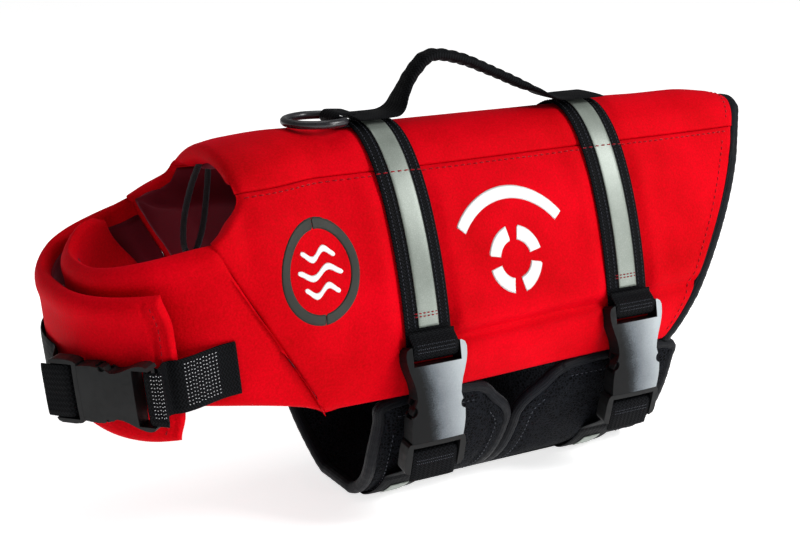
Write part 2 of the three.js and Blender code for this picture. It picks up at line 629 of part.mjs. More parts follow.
// Leash ring: a D lying flat, its bar held by a short loop of webbing in front of the front strap.
const ringZ = backHeight + 4;
add("d_ring", cord(new THREE.CatmullRomCurve3(ringPoints(), true, "centripetal"), ringWire, 8, 44, true), plastic);
function ringPoints() {
  const bow = Array.from({ length: 9 }, (_, i) => {
    const angle = mix(Math.PI / 2, -Math.PI / 2, i / 8);
    return vec(ringBarX - 8 - (ringReach - 8) * Math.cos(angle), ringHalf * Math.sin(angle), ringZ);
  });
  const straight = [-0.8, -0.4, 0, 0.4, 0.8].map((t) => vec(ringBarX, t * ringHalf, ringZ));
  return [...bow, ...straight];
}
const loopRadius = ringWire + ringPlay + webThickness / 2;
const loopTurn = Array.from({ length: 9 }, (_, i) => {
  const angle = mix(Math.PI / 2, Math.PI * 1.5, i / 8);
  return [ringBarX + loopRadius * Math.cos(angle), ringZ + loopRadius * Math.sin(angle)];
});
add("d_ring_loop", strip(
  [[ringBarX + 7.5, ringZ + loopRadius - 0.6], ...loopTurn, [ringBarX + 4.4, ringZ - loopRadius]],
  webThickness * 0.8, ringLoopWidth, alongBody(0)), black);

// Bound rear edge, a round binding just behind the panels.
const rearEdge = (side) => Array.from({ length: 9 }, (_, i) => {
  const z = mix(hemHeight + 1, seamHeight - 1, i / 8);
  return vec(sideRearX(z) + bindingSide + 1.3, side * (wallY(sideRearX(z), z) - coverThickness / 2 - 0.6), z);
});
const spineEdge = Array.from({ length: 7 }, (_, i) => {
  const p = spineFace(mix(0.04, 0.96, i / 6), 1);
  return vec(p.x + bindingSide + 1.3, p.y * 0.96, p.z - coverThickness / 2 - 0.8);
});
add("rear_edge_binding", cord(
  new THREE.CatmullRomCurve3([...rearEdge(-1), ...spineEdge, ...rearEdge(1).reverse()], false, "centripetal"),
  bindingSide, 6, 50, false), black);

// Hook and loop patches between the two chest flaps.
const patch = (offset) => (u, v) => {
  const [x, y] = planPoint(planLength / 2 + mix(-34, 34, u), offset);
  return lean(x, y, mix(97, 128, v));
};
const patchSheet = (low) => sheet(patch(low), patch(low + patchThickness), 16, 1);
add("loop_patch", patchSheet(gap), black);
add("hook_patch", patchSheet(patchThickness + 2 * gap), black);

// Cord inside the neck opening, hung from the spine's lining.
const [cordY, cordTop] = sectionPath(neckFrontX + 6, 0.37, 0.37, 1, -8.1)[0];
const cordCurve = new THREE.CatmullRomCurve3(
  [[0, 0], [-5, -12], [-9, -28], [-9, -42], [-4, -45], [1, -33], [4, -16], [5.5, -3.5]]
    .map(([x, z], i) => vec(neckFrontX + 6 + x, cordY + i / 2, cordTop + z)));
add("neck_cord", cord(cordCurve, 1.5, 6, 28, false), black);

export default root;
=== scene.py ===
import math

import bmesh
import bpy
import numpy as np
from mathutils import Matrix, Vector
from mathutils.bvhtree import BVHTree


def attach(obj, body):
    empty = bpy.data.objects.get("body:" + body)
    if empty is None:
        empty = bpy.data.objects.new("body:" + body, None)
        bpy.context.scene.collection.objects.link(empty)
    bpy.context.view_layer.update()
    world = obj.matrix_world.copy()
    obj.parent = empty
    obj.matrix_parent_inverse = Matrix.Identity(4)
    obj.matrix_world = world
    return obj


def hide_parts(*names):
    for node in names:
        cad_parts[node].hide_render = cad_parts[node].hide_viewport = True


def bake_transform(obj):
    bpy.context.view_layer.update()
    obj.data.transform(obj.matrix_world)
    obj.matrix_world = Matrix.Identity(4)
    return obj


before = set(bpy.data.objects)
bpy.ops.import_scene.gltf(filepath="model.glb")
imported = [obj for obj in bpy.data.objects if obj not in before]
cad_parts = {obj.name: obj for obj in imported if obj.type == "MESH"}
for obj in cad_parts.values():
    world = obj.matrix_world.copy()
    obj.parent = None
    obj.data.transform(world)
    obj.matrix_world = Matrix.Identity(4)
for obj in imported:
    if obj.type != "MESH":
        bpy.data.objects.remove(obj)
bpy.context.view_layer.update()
MM = 0.001


def linked(name, data):
    """A new object in the scene."""
    made = bpy.data.objects.new(name, data)
    bpy.context.scene.collection.objects.link(made)
    return made


# ---- Camera ----
AZIMUTH, ELEVATION, DISTANCE = math.radians(-30), math.radians(16), 0.762
TARGET = Vector((-0.042, 0, 0.109))
back = Vector((math.sin(AZIMUTH) * math.cos(ELEVATION), -math.cos(AZIMUTH) * math.cos(ELEVATION),
               math.sin(ELEVATION)))
camera = linked("camera", bpy.data.cameras.new("camera"))
camera.data.lens, camera.data.sensor_width = 67.5, 36
camera.location = TARGET + back * DISTANCE
camera.rotation_euler = back.to_track_quat("Z", "Y").to_euler()
bpy.context.scene.camera = camera

# ---- The jacket's own sizes, in millimetres ----
GAP = 0.3
BACK, WIDEST, SEAM, HEM = 188, 87, 171, 68
SHOULDER, WAIST, TAIL, NECK = 59.5, 54, 51, 58.3
NECK_X, SPINE_REAR, SEAM_REAR, HEM_REAR = -147, 164, 152, 88
CHEST_X, REACH, POWER = -119, 92, 2.8
DART_LOW, DART_HIGH, DART_TOP = -116, -167, 153
LEAN, PIVOT = math.radians(6), 108
PADDING = 14.9
FLAP, FLAP_LIFT = 6.8, 10.5
FLAP_HEM, FLAP_FRONT_HEM, INNER_RIM, OUTER_RIM = 76, 90, 150, 142
OUTER_TURN, INNER_TURN = 62, 74
WEB, WEB_T, TAPE, TAPE_T, STRAP_X = 25, 1.5, 11, 0.5, 61
AXIS_Y, AXIS_Z, BAND_TOP, PAD_T, BIND_R = 55, 64.4, 60.4, 6, 3.2
BAND_FRONT, BAND_REAR, PAD_GAP_X, PAD_GAP_HALF, BAND_DEPTH, BAND_BOTTOM = -79, 92, -4, 7.7, 88, 2.1
MOUTH = 47.5
RADII = {"front": AXIS_Y + SHOULDER + 7, "rear": AXIS_Y + WAIST + 7.5}
BODY = dict(length=46, half=16.5, thick=4.4, slot=6.5, slot_half=13, bar=2.4, bar_half=1.2, cavity=25,
            cavity_half=12.2, through=2.7, window=(12, 21), guide=2.4, frame=16.5, clear=0.35)
CHEST = dict(BODY, length=37, half=15.2, thick=4, slot=6.2, cavity=20, cavity_half=11.8, window=(9, 16), frame=15)
CHEST_STRAP_Z, CHEST_TURN = 101, math.radians(36)
RING_X, RING_HALF, RING_REACH, RING_WIRE = -79, 14, 25, 1.8
HEM_DROP = 2.2  # the cover rolls under the hem by this much
REAR_TUCK = 3.0  # the panels' rear edge lies this far inside the binding
PAD_TUCK = 3.2  # and the belly pads' edges inside theirs
BEDDING = 0.35  # webbing lies this much above what it is sewn to
CREASE_Z, CREASE_WIDTH, CREASE_DEPTH = 93.5, 2.8, 4.6  # where the foam ends above the hem
DART_TUCK, DART_OVERLAP = 1.1, 3  # how the flaps' upper corner goes under the side panel
NECK_CURVE = 18  # height over which the dart turns into the neck's rim
TAPE_END, LOOP_END, OVER_START = -1.325, -1.372, -1.38  # angles round the body from the ridge
SEAM_STITCH = 2.4  # the seam's stitches lie this far below it


# ---- Small mathematics ----
def smooth(v):
    v = np.clip(v, 0, 1)
    return v * v * (3 - 2 * v)


def mix(a, b, t):
    return a + (b - a) * t


def stack(*parts):
    return np.stack(np.broadcast_arrays(*parts), -1)


def unit(v):
    return v / np.maximum(np.linalg.norm(v, axis=-1, keepdims=True), 1e-9)


def bell(v, width):
    return np.exp(-(v / width) ** 2)


def arc_length(p):
    """How far along a path each of its points lies."""
    return np.concatenate([[0], np.cumsum(np.linalg.norm(np.diff(p, axis=0), axis=1))])


def spline(points, spacing, closed=False):
    """Points along a smooth curve through the given ones, evenly spaced."""
    p = np.array(points, float)
    q = np.concatenate([p[-1:], p, p[:2]]) if closed else np.concatenate([2 * p[:1] - p[1:2], p, 2 * p[-1:] - p[-2:-1]])
    t = np.linspace(0, 1, 12, endpoint=False)[:, None]
    out = []
    for a, b, c, d in zip(q[:-3], q[1:-2], q[2:-1], q[3:]):
        out.append(0.5 * (2 * b + (c - a) * t + (2 * a - 5 * b + 4 * c - d) * t * t + (3 * b - a - 3 * c + d) * t ** 3))
    out = np.concatenate(out + [q[-2:-1] if not closed else out[0][:1]])
    length = arc_length(out)
    count = max(int(round(length[-1] / spacing)), 3)
    s = np.linspace(0, length[-1], count + 1)[: count if closed else None]
    return stack(*[np.interp(s, length, out[:, k]) for k in range(out.shape[1])])


def wobble(p, size, seed=0.0):
    """A gentle, repeatable unevenness over space, from -1 to 1."""
    x, y, z = p[..., 0] / size, p[..., 1] / size, p[..., 2] / size
    return (np.sin(1.7 * x + 2.3 * z + seed) + np.sin(2.9 * z - 1.3 * x + 1.9 * y + 2 * seed + 1)
            + np.sin(3.7 * x + 1.1 * y - 2.1 * z + 3 * seed + 2)) / 3


# ---- The body's outer face ----
def half_width(x):
    x = np.asarray(x, float)
    reach = np.clip((CHEST_X - x) / REACH, 0, 1)
    front = NECK * (1 - reach ** POWER) ** (1 / POWER)
    rest = (NECK + (SHOULDER - NECK) * smooth((x - CHEST_X) / (-STRAP_X - CHEST_X))
            + (WAIST - SHOULDER) * smooth((x + STRAP_X) / (2 * STRAP_X))
            + (TAIL - WAIST) * smooth((x - STRAP_X) / (SEAM_REAR - STRAP_X)))
    return np.where(x < CHEST_X, front, rest)


def squareness(x):
    return 1.4 + 2.6 * smooth((-100 - x) / 50) + 5 * smooth((-148 - x) / 20)


def ridge(x):
    return BACK - 5 * smooth((x - 130) / 45) - 3 * smooth((-110 - x) / 40)


def leaning_x(x, z):
    return x + (z - PIVOT) * math.tan(LEAN) * smooth((-105 - x) / 14)


def wall(x, z):
    w = half_width(leaning_x(x, z))
    low = w * np.sqrt(np.clip(1 - ((WIDEST - z) / WIDEST) ** 2, 0, 1))
    rise = np.clip((z - WIDEST) / (ridge(x) - WIDEST), 0, 1)
    return np.where(z < WIDEST, low, w * np.sqrt(1 - rise ** squareness(x)))


def girth(x, angle):
    x, angle = np.broadcast_arrays(np.asarray(x, float), np.asarray(angle, float))
    rise = np.clip(np.cos(angle), 0, 1) ** (2 / squareness(x))
    z = np.where(np.abs(angle) > math.pi / 2, WIDEST * (1 + np.cos(angle)), WIDEST + (ridge(x) - WIDEST) * rise)
    return stack(x, half_width(x) * np.sin(angle), z)


def spine_face(u, v):
    bow = 1 - (2 * u - 1) ** 2
    x = mix(NECK_X - 1.4 + 1.4 * bow, mix(SEAM_REAR + 1, SPINE_REAR, bow) + REAR_TUCK, v)
    rise = (SEAM - WIDEST) / (ridge(x) - WIDEST)
    reach = np.arcsin(np.sqrt(1 - rise ** squareness(x)))
    return girth(x, mix(-reach, reach, u))


def dart_x(z):
    return mix(DART_LOW, DART_HIGH, (z - HEM) / (DART_TOP - HEM))


def side_front(z):
    turn = np.sin(np.clip((z - DART_TOP) / NECK_CURVE, 0, 1) * math.pi / 2)
    return np.where(z <= DART_TOP, dart_x(z), mix(DART_HIGH, NECK_X - 1.2, turn))


def side_rear(z):
    return mix(HEM_REAR, SEAM_REAR, np.clip((z - HEM) / (SEAM - HEM), 0, 1) ** 0.85)


def side_face(side):
    def face(u, v):
        z = mix(HEM - HEM_DROP, SEAM, v)
        x = mix(side_front(z), side_rear(z) + REAR_TUCK, u)
        return stack(x, side * wall(x, z), z)
    return face


plan_angle = np.linspace(-math.pi / 2, math.pi / 2, 6001)
plan_xy = stack(CHEST_X - REACH * np.abs(np.cos(plan_angle)) ** (2 / POWER),
                NECK * np.sign(np.sin(plan_angle)) * np.abs(np.sin(plan_angle)) ** (2 / POWER))
plan_s = arc_length(plan_xy)
PLAN = plan_s[-1]


def plan(s, offset):
    """A point of the chest's plan by arc length from the near side, that far outside it."""
    s = np.clip(np.asarray(s, float), 1, PLAN - 1)
    at = lambda t: stack(np.interp(t, plan_s, plan_xy[:, 0]), np.interp(t, plan_s, plan_xy[:, 1]))
    way = unit(at(s + 1) - at(s - 1))
    p = at(s)
    return p[..., 0] - way[..., 1] * offset, p[..., 1] + way[..., 0] * offset


def plan_start(x):
    near = slice(0, 3001)
    return np.interp(-x, -plan_xy[near, 0], plan_s[near], left=0)


def lean(x, y, z):
    dx, dz = x - CHEST_X, z - PIVOT
    return stack(CHEST_X + dx * math.cos(LEAN) - dz * math.sin(LEAN), y,
                 PIVOT + dx * math.sin(LEAN) + dz * math.cos(LEAN))


def flap_face(side, end, lift, low, high):
    def face(u, v):
        z = mix(HEM - HEM_DROP, DART_TOP, v)
        under = smooth((v - 0.82) / 0.18)
        x = dart_x(z) - 0.1 + DART_OVERLAP * under
        s = mix(plan_start(leaning_x(x, z)), end(v), u)
        px, py = plan(s, lift(u))
        on_dart = stack(x, side * (wall(x, z) - DART_TUCK * under), z)
        return mix(on_dart, lean(px, -side * py, mix(low(u), high(u), v)), smooth(u * 4.5)[..., None])
    return face


def rounded(v, size):
    return size * (smooth((v - 0.7) / 0.3) ** 2 + smooth((0.25 - v) / 0.25) ** 2)


inner_flap = flap_face(
    -1, lambda v: PLAN / 2 + INNER_TURN + 9 - 22 * smooth((v - 0.4) / 0.6) - 4 * smooth((0.25 - v) / 0.25),
    lambda u: -9 * smooth((u - 0.55) / 0.45),
    lambda u: mix(FLAP_HEM, FLAP_FRONT_HEM, smooth(u * 2)),
    lambda u: (mix(DART_TOP + 4, INNER_RIM, smooth(u * 2)) + 6 * smooth((u - 0.7) / 0.2)
               - 3 * smooth((u - 0.93) / 0.07)))
outer_flap = flap_face(
    1, lambda v: PLAN / 2 + OUTER_TURN - rounded(v, 3), lambda u: smooth((u - 0.04) * 3.6) * FLAP_LIFT,
    lambda u: mix(mix(FLAP_HEM, FLAP_FRONT_HEM, smooth(u * 2)), FLAP_HEM - 2, smooth(u * 2.6 - 1.5)),
    lambda u: mix(DART_TOP + 4, OUTER_RIM, smooth(u * 2)))


# ---- Materials ----
class Nodes:
    """A material's node tree with short calls for what the finishes below need."""

    def __init__(self, name, roughness, specular=0.5, sheen=0.0, sheen_tint=(1, 1, 1), metallic=0.0, coat=0.0):
        self.material = bpy.data.materials.new(name)
        self.material.use_nodes = True
        self.tree = self.material.node_tree
        self.shader = self.tree.nodes["Principled BSDF"]
        put = lambda key, value: setattr(self.shader.inputs[key], "default_value", value)
        put("Roughness", roughness)
        put("Specular IOR Level", specular)
        put("Sheen Weight", sheen)
        put("Sheen Roughness", 0.4)
        put("Sheen Tint", (*sheen_tint, 1))
        put("Metallic", metallic)
        put("Coat Weight", coat)
        put("Coat Roughness", 0.25)
        self.place = self.add("ShaderNodeTexCoord").outputs["Object"]

    def add(self, kind, inputs=(), **settings):
        node = self.tree.nodes.new(kind)
        for key, value in settings.items():
            setattr(node, key, value)
        for key, value in dict(inputs).items():
            if isinstance(value, bpy.types.NodeSocket):
                self.tree.links.new(value, node.inputs[key])
            else:
                node.inputs[key].default_value = value
        return node

    def noise(self, scale, detail=3):
        return self.add("ShaderNodeTexNoise", {"Vector": self.place, "Scale": scale, "Detail": detail}).outputs["Fac"]

    def cells(self, scale, feature="F1"):
        node = self.add("ShaderNodeTexVoronoi", {"Vector": self.place, "Scale": scale}, feature=feature)
        return node.outputs["Distance"]

    def math(self, operation, a, b=0.0, c=0.0):
        return self.add("ShaderNodeMath", {0: a, 1: b, 2: c}, operation=operation).outputs[0]

    def between(self, value, low, high, to_low, to_high):
        return self.add("ShaderNodeMapRange", {
            "Value": value, "From Min": low, "From Max": high, "To Min": to_low, "To Max": to_high}).outputs[0]

    def colours(self, value, *stops):
        node = self.add("ShaderNodeValToRGB", {"Fac": value})
        ramp = node.color_ramp
        while len(ramp.elements) < len(stops):
            ramp.elements.new(0.5)
        for element, (at, colour) in zip(ramp.elements, stops):
            element.position, element.color = at, (*colour, 1)
        return node.outputs["Color"]

    def colour(self, socket):
        self.tree.links.new(socket, self.shader.inputs["Base Color"])

    def roughness(self, socket):
        self.tree.links.new(socket, self.shader.inputs["Roughness"])

    def bump(self, *heights):
        """Each height is (socket, strength, distance in metres)."""
        normal = None
        for socket, strength, distance in heights:
            inputs = {"Height": socket, "Strength": strength, "Distance": distance}
            if normal:
                inputs["Normal"] = normal
            normal = self.add("ShaderNodeBump", inputs).outputs["Normal"]
        self.tree.links.new(normal, self.shader.inputs["Normal"])


def fabric(name, dark, light, grain, roughness=0.7, specular=0.2, sheen=0.3, tint=(1, 1, 1), patch=22, depth=0.00012):
    """Knitted or fleecy cloth: broad colour variation, a fine grain that also shades the colour, and sheen."""
    n = Nodes(name, roughness, specular, sheen, tint)
    broad, fine = n.noise(patch), n.noise(grain, 2)
    n.colour(n.colours(n.math("ADD", n.math("MULTIPLY", broad, 0.6), n.math("MULTIPLY", fine, 0.4)),
                       (0.3, dark), (0.7, light)))
    n.roughness(n.between(fine, 0.3, 0.7, roughness - 0.08, roughness + 0.1))
    n.bump((fine, 0.5, depth), (n.cells(grain * 0.7), 0.25, depth))
    return n.material


def woven(name, dark, light, rib, zig, roughness=0.6, specular=0.35, sheen=0.15, tint=(0.6, 0.7, 1), depth=0.0002):
    """Webbing and tape: a twill that runs along the strip's own length, from its map in millimetres."""
    n = Nodes(name, roughness, specular, sheen, tint)
    uv = n.add("ShaderNodeSeparateXYZ", {"Vector": n.add("ShaderNodeUVMap", uv_map="Strip").outputs[0]})
    along, across = uv.outputs[0], uv.outputs[1]
    zigzag = n.math("PINGPONG", across, zig)
    twill = n.math("SINE", n.math("MULTIPLY", n.math("ADD", along, zigzag), 2 * math.pi / rib))
    cords = n.math("COSINE", n.math("MULTIPLY", across, 2 * math.pi / (2 * zig)))
    height = n.math("MULTIPLY_ADD", twill, 0.5, 0.5)
    worn = n.noise(60)
    n.colour(n.colours(n.math("MULTIPLY", height, n.between(worn, 0.3, 0.7, 0.6, 1.0)), (0.1, dark), (0.95, light)))
    n.roughness(n.between(worn, 0.3, 0.7, roughness - 0.1, roughness + 0.12))
    n.bump((height, 0.55, depth), (cords, 0.3, depth), (n.noise(2500, 1), 0.2, depth / 3))
    return n.material


def moulded(name, dark, light, roughness, specular=0.5, coat=0.1):
    """Moulded plastic: slight flow marks, scuffs that change the gloss, and a fine spark-eroded grain."""
    n = Nodes(name, roughness, specular, coat=coat)
    flow, scuff = n.noise(45), n.noise(300, 4)
    n.colour(n.colours(flow, (0.3, dark), (0.72, light)))
    n.roughness(n.between(scuff, 0.35, 0.7, roughness - 0.06, roughness + 0.12))
    n.bump((n.noise(1800, 2), 0.12, 0.00006), (flow, 0.1, 0.0003))
    return n.material


RED = fabric("neoprene", (0.4, 0.0, 0.001), (0.74, 0.0, 0.008), 950, 0.7, 0.03, 0.06, (1, 0.05, 0.22), depth=0.00025)
MAROON = fabric("lining", (0.07, 0.001, 0.006), (0.16, 0.003, 0.012), 1300, 0.8, 0.15, 0.25, (1, 0.3, 0.4))
WEBBING = woven("webbing", (0.0004, 0.0005, 0.0006), (0.008, 0.0088, 0.011), 1.5, 1.25, 0.62, 0.05, 0.0)
BINDING = woven("binding", (0.0006, 0.0008, 0.0012), (0.006, 0.0075, 0.013), 0.9, 0.7, 0.5, 0.12, 0.0)
HOOKS = fabric("hook_and_loop", (0.004, 0.004, 0.005), (0.03, 0.03, 0.034), 900, 0.9, 0.1, 0.4, depth=0.0006)
CORD = woven("cord", (0.003, 0.003, 0.004), (0.03, 0.03, 0.034), 1.1, 0.6)
THREAD_RED = fabric("red_thread", (0.16, 0.0, 0.002), (0.34, 0.0, 0.008), 2500, 0.7, 0.03)
THREAD_BLACK = fabric("black_thread", (0.014, 0.016, 0.022), (0.05, 0.056, 0.076), 2500, 0.5, 0.15)
THREAD_WHITE = fabric("white_thread", (0.4, 0.4, 0.42), (0.8, 0.8, 0.82), 2500, 0.6, 0.3)
PRINT_WHITE = fabric("white_print", (0.75, 0.74, 0.74), (0.92, 0.92, 0.93), 1500, 0.55, 0.3, 0.05)
PRINT_DARK = fabric("dark_print", (0.012, 0.014, 0.01), (0.03, 0.032, 0.026), 1500, 0.6, 0.3, 0.05)
PLASTIC = moulded("black_plastic", (0.003, 0.0034, 0.0036), (0.008, 0.0085, 0.009), 0.42, 0.18, 0.0)
RING = moulded("ring_plastic", (0.006, 0.006, 0.008), (0.014, 0.014, 0.018), 0.3)


def tape_material():
    n = Nodes("reflective_tape", 0.42, 0.6, metallic=0.25)
    broad, beads = n.noise(35), n.cells(2200)
    n.colour(n.colours(n.math("ADD", n.math("MULTIPLY", broad, 0.75), n.math("MULTIPLY", beads, 0.25)),
                       (0.3, (0.135, 0.158, 0.135)), (0.68, (0.27, 0.305, 0.27))))
    n.roughness(n.between(broad, 0.3, 0.7, 0.34, 0.5))
    n.bump((beads, 0.3, 0.00006), (n.noise(160), 0.15, 0.0003))
    return n.material


def air_mesh_material():
    n = Nodes("air_mesh", 0.75, 0.04)
    holes = n.cells(560, "DISTANCE_TO_EDGE")
    rim = n.between(holes, 0.05, 0.3, 1, 0)
    n.colour(n.colours(n.math("MULTIPLY", rim, n.between(n.noise(40), 0.3, 0.7, 0.7, 1)),
                       (0.05, (0.0008, 0.0008, 0.001)), (0.9, (0.008, 0.009, 0.012))))
    n.bump((rim, 0.8, 0.0006), (n.noise(1500, 1), 0.3, 0.0001))
    return n.material


def painted_sheen_material():
    """Black plastic whose flat face carries a painted sheen: a grey highlight painted into the colour that pales
    towards the upper rear corner, while the sides stay black.
    """
    n = Nodes("plastic_with_painted_sheen", 0.42, 0.12)
    box = n.add("ShaderNodeSeparateXYZ", {"Vector": n.add("ShaderNodeTexCoord").outputs["Generated"]})
    face = n.add("ShaderNodeSeparateXYZ", {"Vector": n.add("ShaderNodeTexCoord").outputs["Normal"]})
    # Painted highlight: the colour grows paler across the piece towards its upper rear corner, with a little grain in
    # it
    slope = n.math("MULTIPLY_ADD", box.outputs["X"], 1.15, n.math("MULTIPLY_ADD", box.outputs["Z"], 0.35, -0.42))
    grain = n.math("MULTIPLY_ADD", n.noise(1400, 2), 0.16, n.math("MULTIPLY_ADD", n.noise(90), 0.2, -0.18))
    # Only faces turned towards -Y take the painted highlight; the rest stays plain black
    painted_sheen_mask = n.between(face.outputs["Y"], -0.75, -0.93, 0, 1)
    n.colour(n.colours(n.math("MULTIPLY", n.math("ADD", slope, grain), painted_sheen_mask),
                       (0.02, (0.004, 0.0045, 0.005)), (0.12, (0.02, 0.024, 0.028)), (0.3, (0.13, 0.148, 0.165)),
                       (0.85, (0.42, 0.46, 0.48))))
    n.roughness(n.between(n.noise(300, 4), 0.35, 0.7, 0.34, 0.5))
    n.bump((n.noise(1800, 2), 0.15, 0.00006))
    return n.material


TAPE_MAT, MESH, PAINTED_SHEEN_PLASTIC = tape_material(), air_mesh_material(), painted_sheen_material()


# ---- Making meshes ----
pieces = {}


def add_mesh(name, points, faces, material, uv=None):
    """A closed mesh in millimetres, with its faces turned out and an optional map in millimetres."""
    points = np.asarray(points, float)
    tri = np.array([(f[0], f[k], f[k + 1]) for f in faces for k in range(1, len(f) - 1)])
    a, b, c = points[tri[:, 0]], points[tri[:, 1]], points[tri[:, 2]]
    if np.einsum("ij,ij->", a, np.cross(b, c)) < 0:
        faces = [tuple(reversed(f)) for f in faces]
    mesh = bpy.data.meshes.new(name)
    mesh.from_pydata((points * MM).tolist(), [], [tuple(map(int, f)) for f in faces])
    mesh.polygons.foreach_set("use_smooth", [True] * len(mesh.polygons))
    if uv is not None:
        layer = mesh.uv_layers.new(name="Strip")
        loops = np.zeros(len(mesh.loops), np.int32)
        mesh.loops.foreach_get("vertex_index", loops)
        layer.data.foreach_set("uv", np.asarray(uv, np.float32)[loops].ravel())
    mesh.materials.append(material)
    made = linked(name, mesh)
    pieces[name] = made
    return made


def settle(piece, body, slot, *nodes, fill=None):
    """The piece rides on its body and stands for CAD nodes, which it hides; slot is not used."""
    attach(piece, body)
    if nodes:
        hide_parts(*nodes)
    return piece


def quads(index):
    a, b, c, d = index[:-1, :-1], index[1:, :-1], index[1:, 1:], index[:-1, 1:]
    return np.stack([a, b, c, d], -1).reshape(-1, 4)


def slab(outer, inner):
    """Points and faces between two grids that meet along their boundary."""
    ni, nj = outer.shape[:2]
    top = np.arange(ni * nj).reshape(ni, nj)
    low = top.copy()
    low[1:-1, 1:-1] = ni * nj + np.arange((ni - 2) * (nj - 2)).reshape(ni - 2, nj - 2)
    points = np.concatenate([outer.reshape(-1, 3), inner[1:-1, 1:-1].reshape(-1, 3)])
    return points, np.concatenate([quads(top), quads(low)[:, ::-1]]).tolist()


EDGE = np.array([0, 0.3, 0.9, 1.8, 3, 4.6, 6.6, 9])


def stations(length, step):
    middle = np.linspace(EDGE[-1], length - EDGE[-1], max(int((length - 2 * EDGE[-1]) / step), 2) + 1)[1:-1]
    return np.concatenate([EDGE, middle, length - EDGE[::-1]]) / length


def padded_grid(face, inward, lengths, thickness, edges, relief, step=3.0, spread=28):
    """The outer and inner grids of a padded panel whose four edges are rounded over.
    edges gives the thickness at u 0, u 1, v 0 and v 1. relief lifts the outer face, given points and edge distances."""
    U, V = np.meshgrid(stations(lengths[0], step), stations(lengths[1], step), indexing="ij")
    P = face(U, V)
    h = 1e-3
    Uc, Vc = np.clip(U, h, 1 - h), np.clip(V, h, 1 - h)
    N = -inward * unit(np.cross(face(Uc + h, Vc) - face(Uc - h, Vc), face(Uc, Vc + h) - face(Uc, Vc - h)))
    run = lambda axis: np.concatenate([
        np.zeros_like(np.take(P[..., 0], [0], axis)),
        np.cumsum(np.linalg.norm(np.diff(P, axis=axis), axis=-1), axis=axis)], axis=axis)
    ru, rv = run(0), run(1)
    away = [ru, ru[-1:] - ru, rv, rv[:, -1:] - rv]
    total, drop = np.full(U.shape, float(thickness)), np.zeros(U.shape)
    for e, t in zip(away, edges):
        t = t(P) if callable(t) else t
        total = np.minimum(total, t + (thickness - t) * smooth(e / spread))
        r = t / 2
        drop += (r * (1 - np.sqrt(1 - (1 - np.minimum(e / r, 1)) ** 2))) ** 3
    drop = np.minimum(drop ** (1 / 3), total / 2)
    nearest = np.minimum.reduce(away)
    lift = relief(P, away) * smooth(nearest / 5)
    outer = P + N * (lift - drop)[..., None]
    inner = P - N * (total - drop)[..., None]
    edge = np.zeros(U.shape, bool)
    edge[[0, -1]] = True
    edge[:, [0, -1]] = True
    outer[edge] = inner[edge] = (P - N * (total / 2)[..., None])[edge]
    return outer, inner, N


def lining_grid(inner, normal, skip, thickness=1.6):
    """A thin skin over a panel's inner side. skip drops grid lines at u 0, u 1, v 0 and v 1."""
    a, b, c, d = skip
    cut = (slice(a, inner.shape[0] - b), slice(c, inner.shape[1] - d))
    base, n = inner[cut], normal[cut]
    out, low = base + n * 0.5, base - n * (thickness - 0.5)
    for grid in (out, low):
        middle = base - n * 0.1
        grid[[0, -1]], grid[:, [0, -1]] = middle[[0, -1]], middle[:, [0, -1]]
    return out, low


def ribbon(name, path, across, width, thickness, material, spacing=1.2, columns=12, crown=6.0):
    """A strip along a path, with rounded edges and its own map. width and thickness may vary along it."""
    p = spline(path, spacing)
    n = len(p)
    A = np.broadcast_to(np.asarray(across, float), (n, 3))
    T = unit(np.gradient(p, axis=0))
    A = unit(A - T * np.sum(A * T, -1, keepdims=True))
    N = np.cross(T, A)
    w, t = (np.interp(np.linspace(0, 1, n), np.linspace(0, 1, np.size(k)), np.atleast_1d(k)) / 2
            for k in (width, thickness))
    share = np.sin(np.linspace(-math.pi / 2, math.pi / 2, columns + 1))
    height = (1 - np.abs(share) ** crown) ** (1 / 2)
    ring = np.concatenate([stack(share, height), stack(share, -height)[-2:0:-1]])
    points = (p[:, None] + A[:, None] * (ring[:, 0] * w[:, None])[..., None]
              + N[:, None] * (ring[:, 1] * t[:, None])[..., None])
    m = len(ring)
    index = np.arange(n * m).reshape(n, m)
    faces = quads(np.concatenate([index, index[:, :1]], axis=1)).tolist()
    for end in (index[0], index[-1][::-1]):
        faces.append(tuple(end))
    s = arc_length(p)
    uv = stack(np.broadcast_to(s[:, None], (n, m)), ring[:, 0] * w[:, None]).reshape(-1, 2)
    return add_mesh(name, points.reshape(-1, 3), faces, material, uv)


def frames(p, closed=False):
    """Tangent and two normals along a path that turn as little as they can."""
    T = unit(np.roll(p, -1, 0) - np.roll(p, 1, 0)) if closed else unit(np.gradient(p, axis=0))
    N = np.zeros_like(p)
    n = np.cross(T[0], (0, 0, 1)) if abs(T[0][2]) < 0.9 else np.cross(T[0], (0, 1, 0))
    for i, t in enumerate(T):
        n = n - t * (n @ t)
        n = n / np.linalg.norm(n)
        N[i] = n
    if closed:
        turn = math.atan2(np.cross(N[-1], N[0]) @ T[0], N[-1] @ N[0])
        a = np.linspace(0, turn, len(p))[:, None]
        N = N * np.cos(a) + np.cross(T, N) * np.sin(a)
    return T, N, np.cross(T, N)


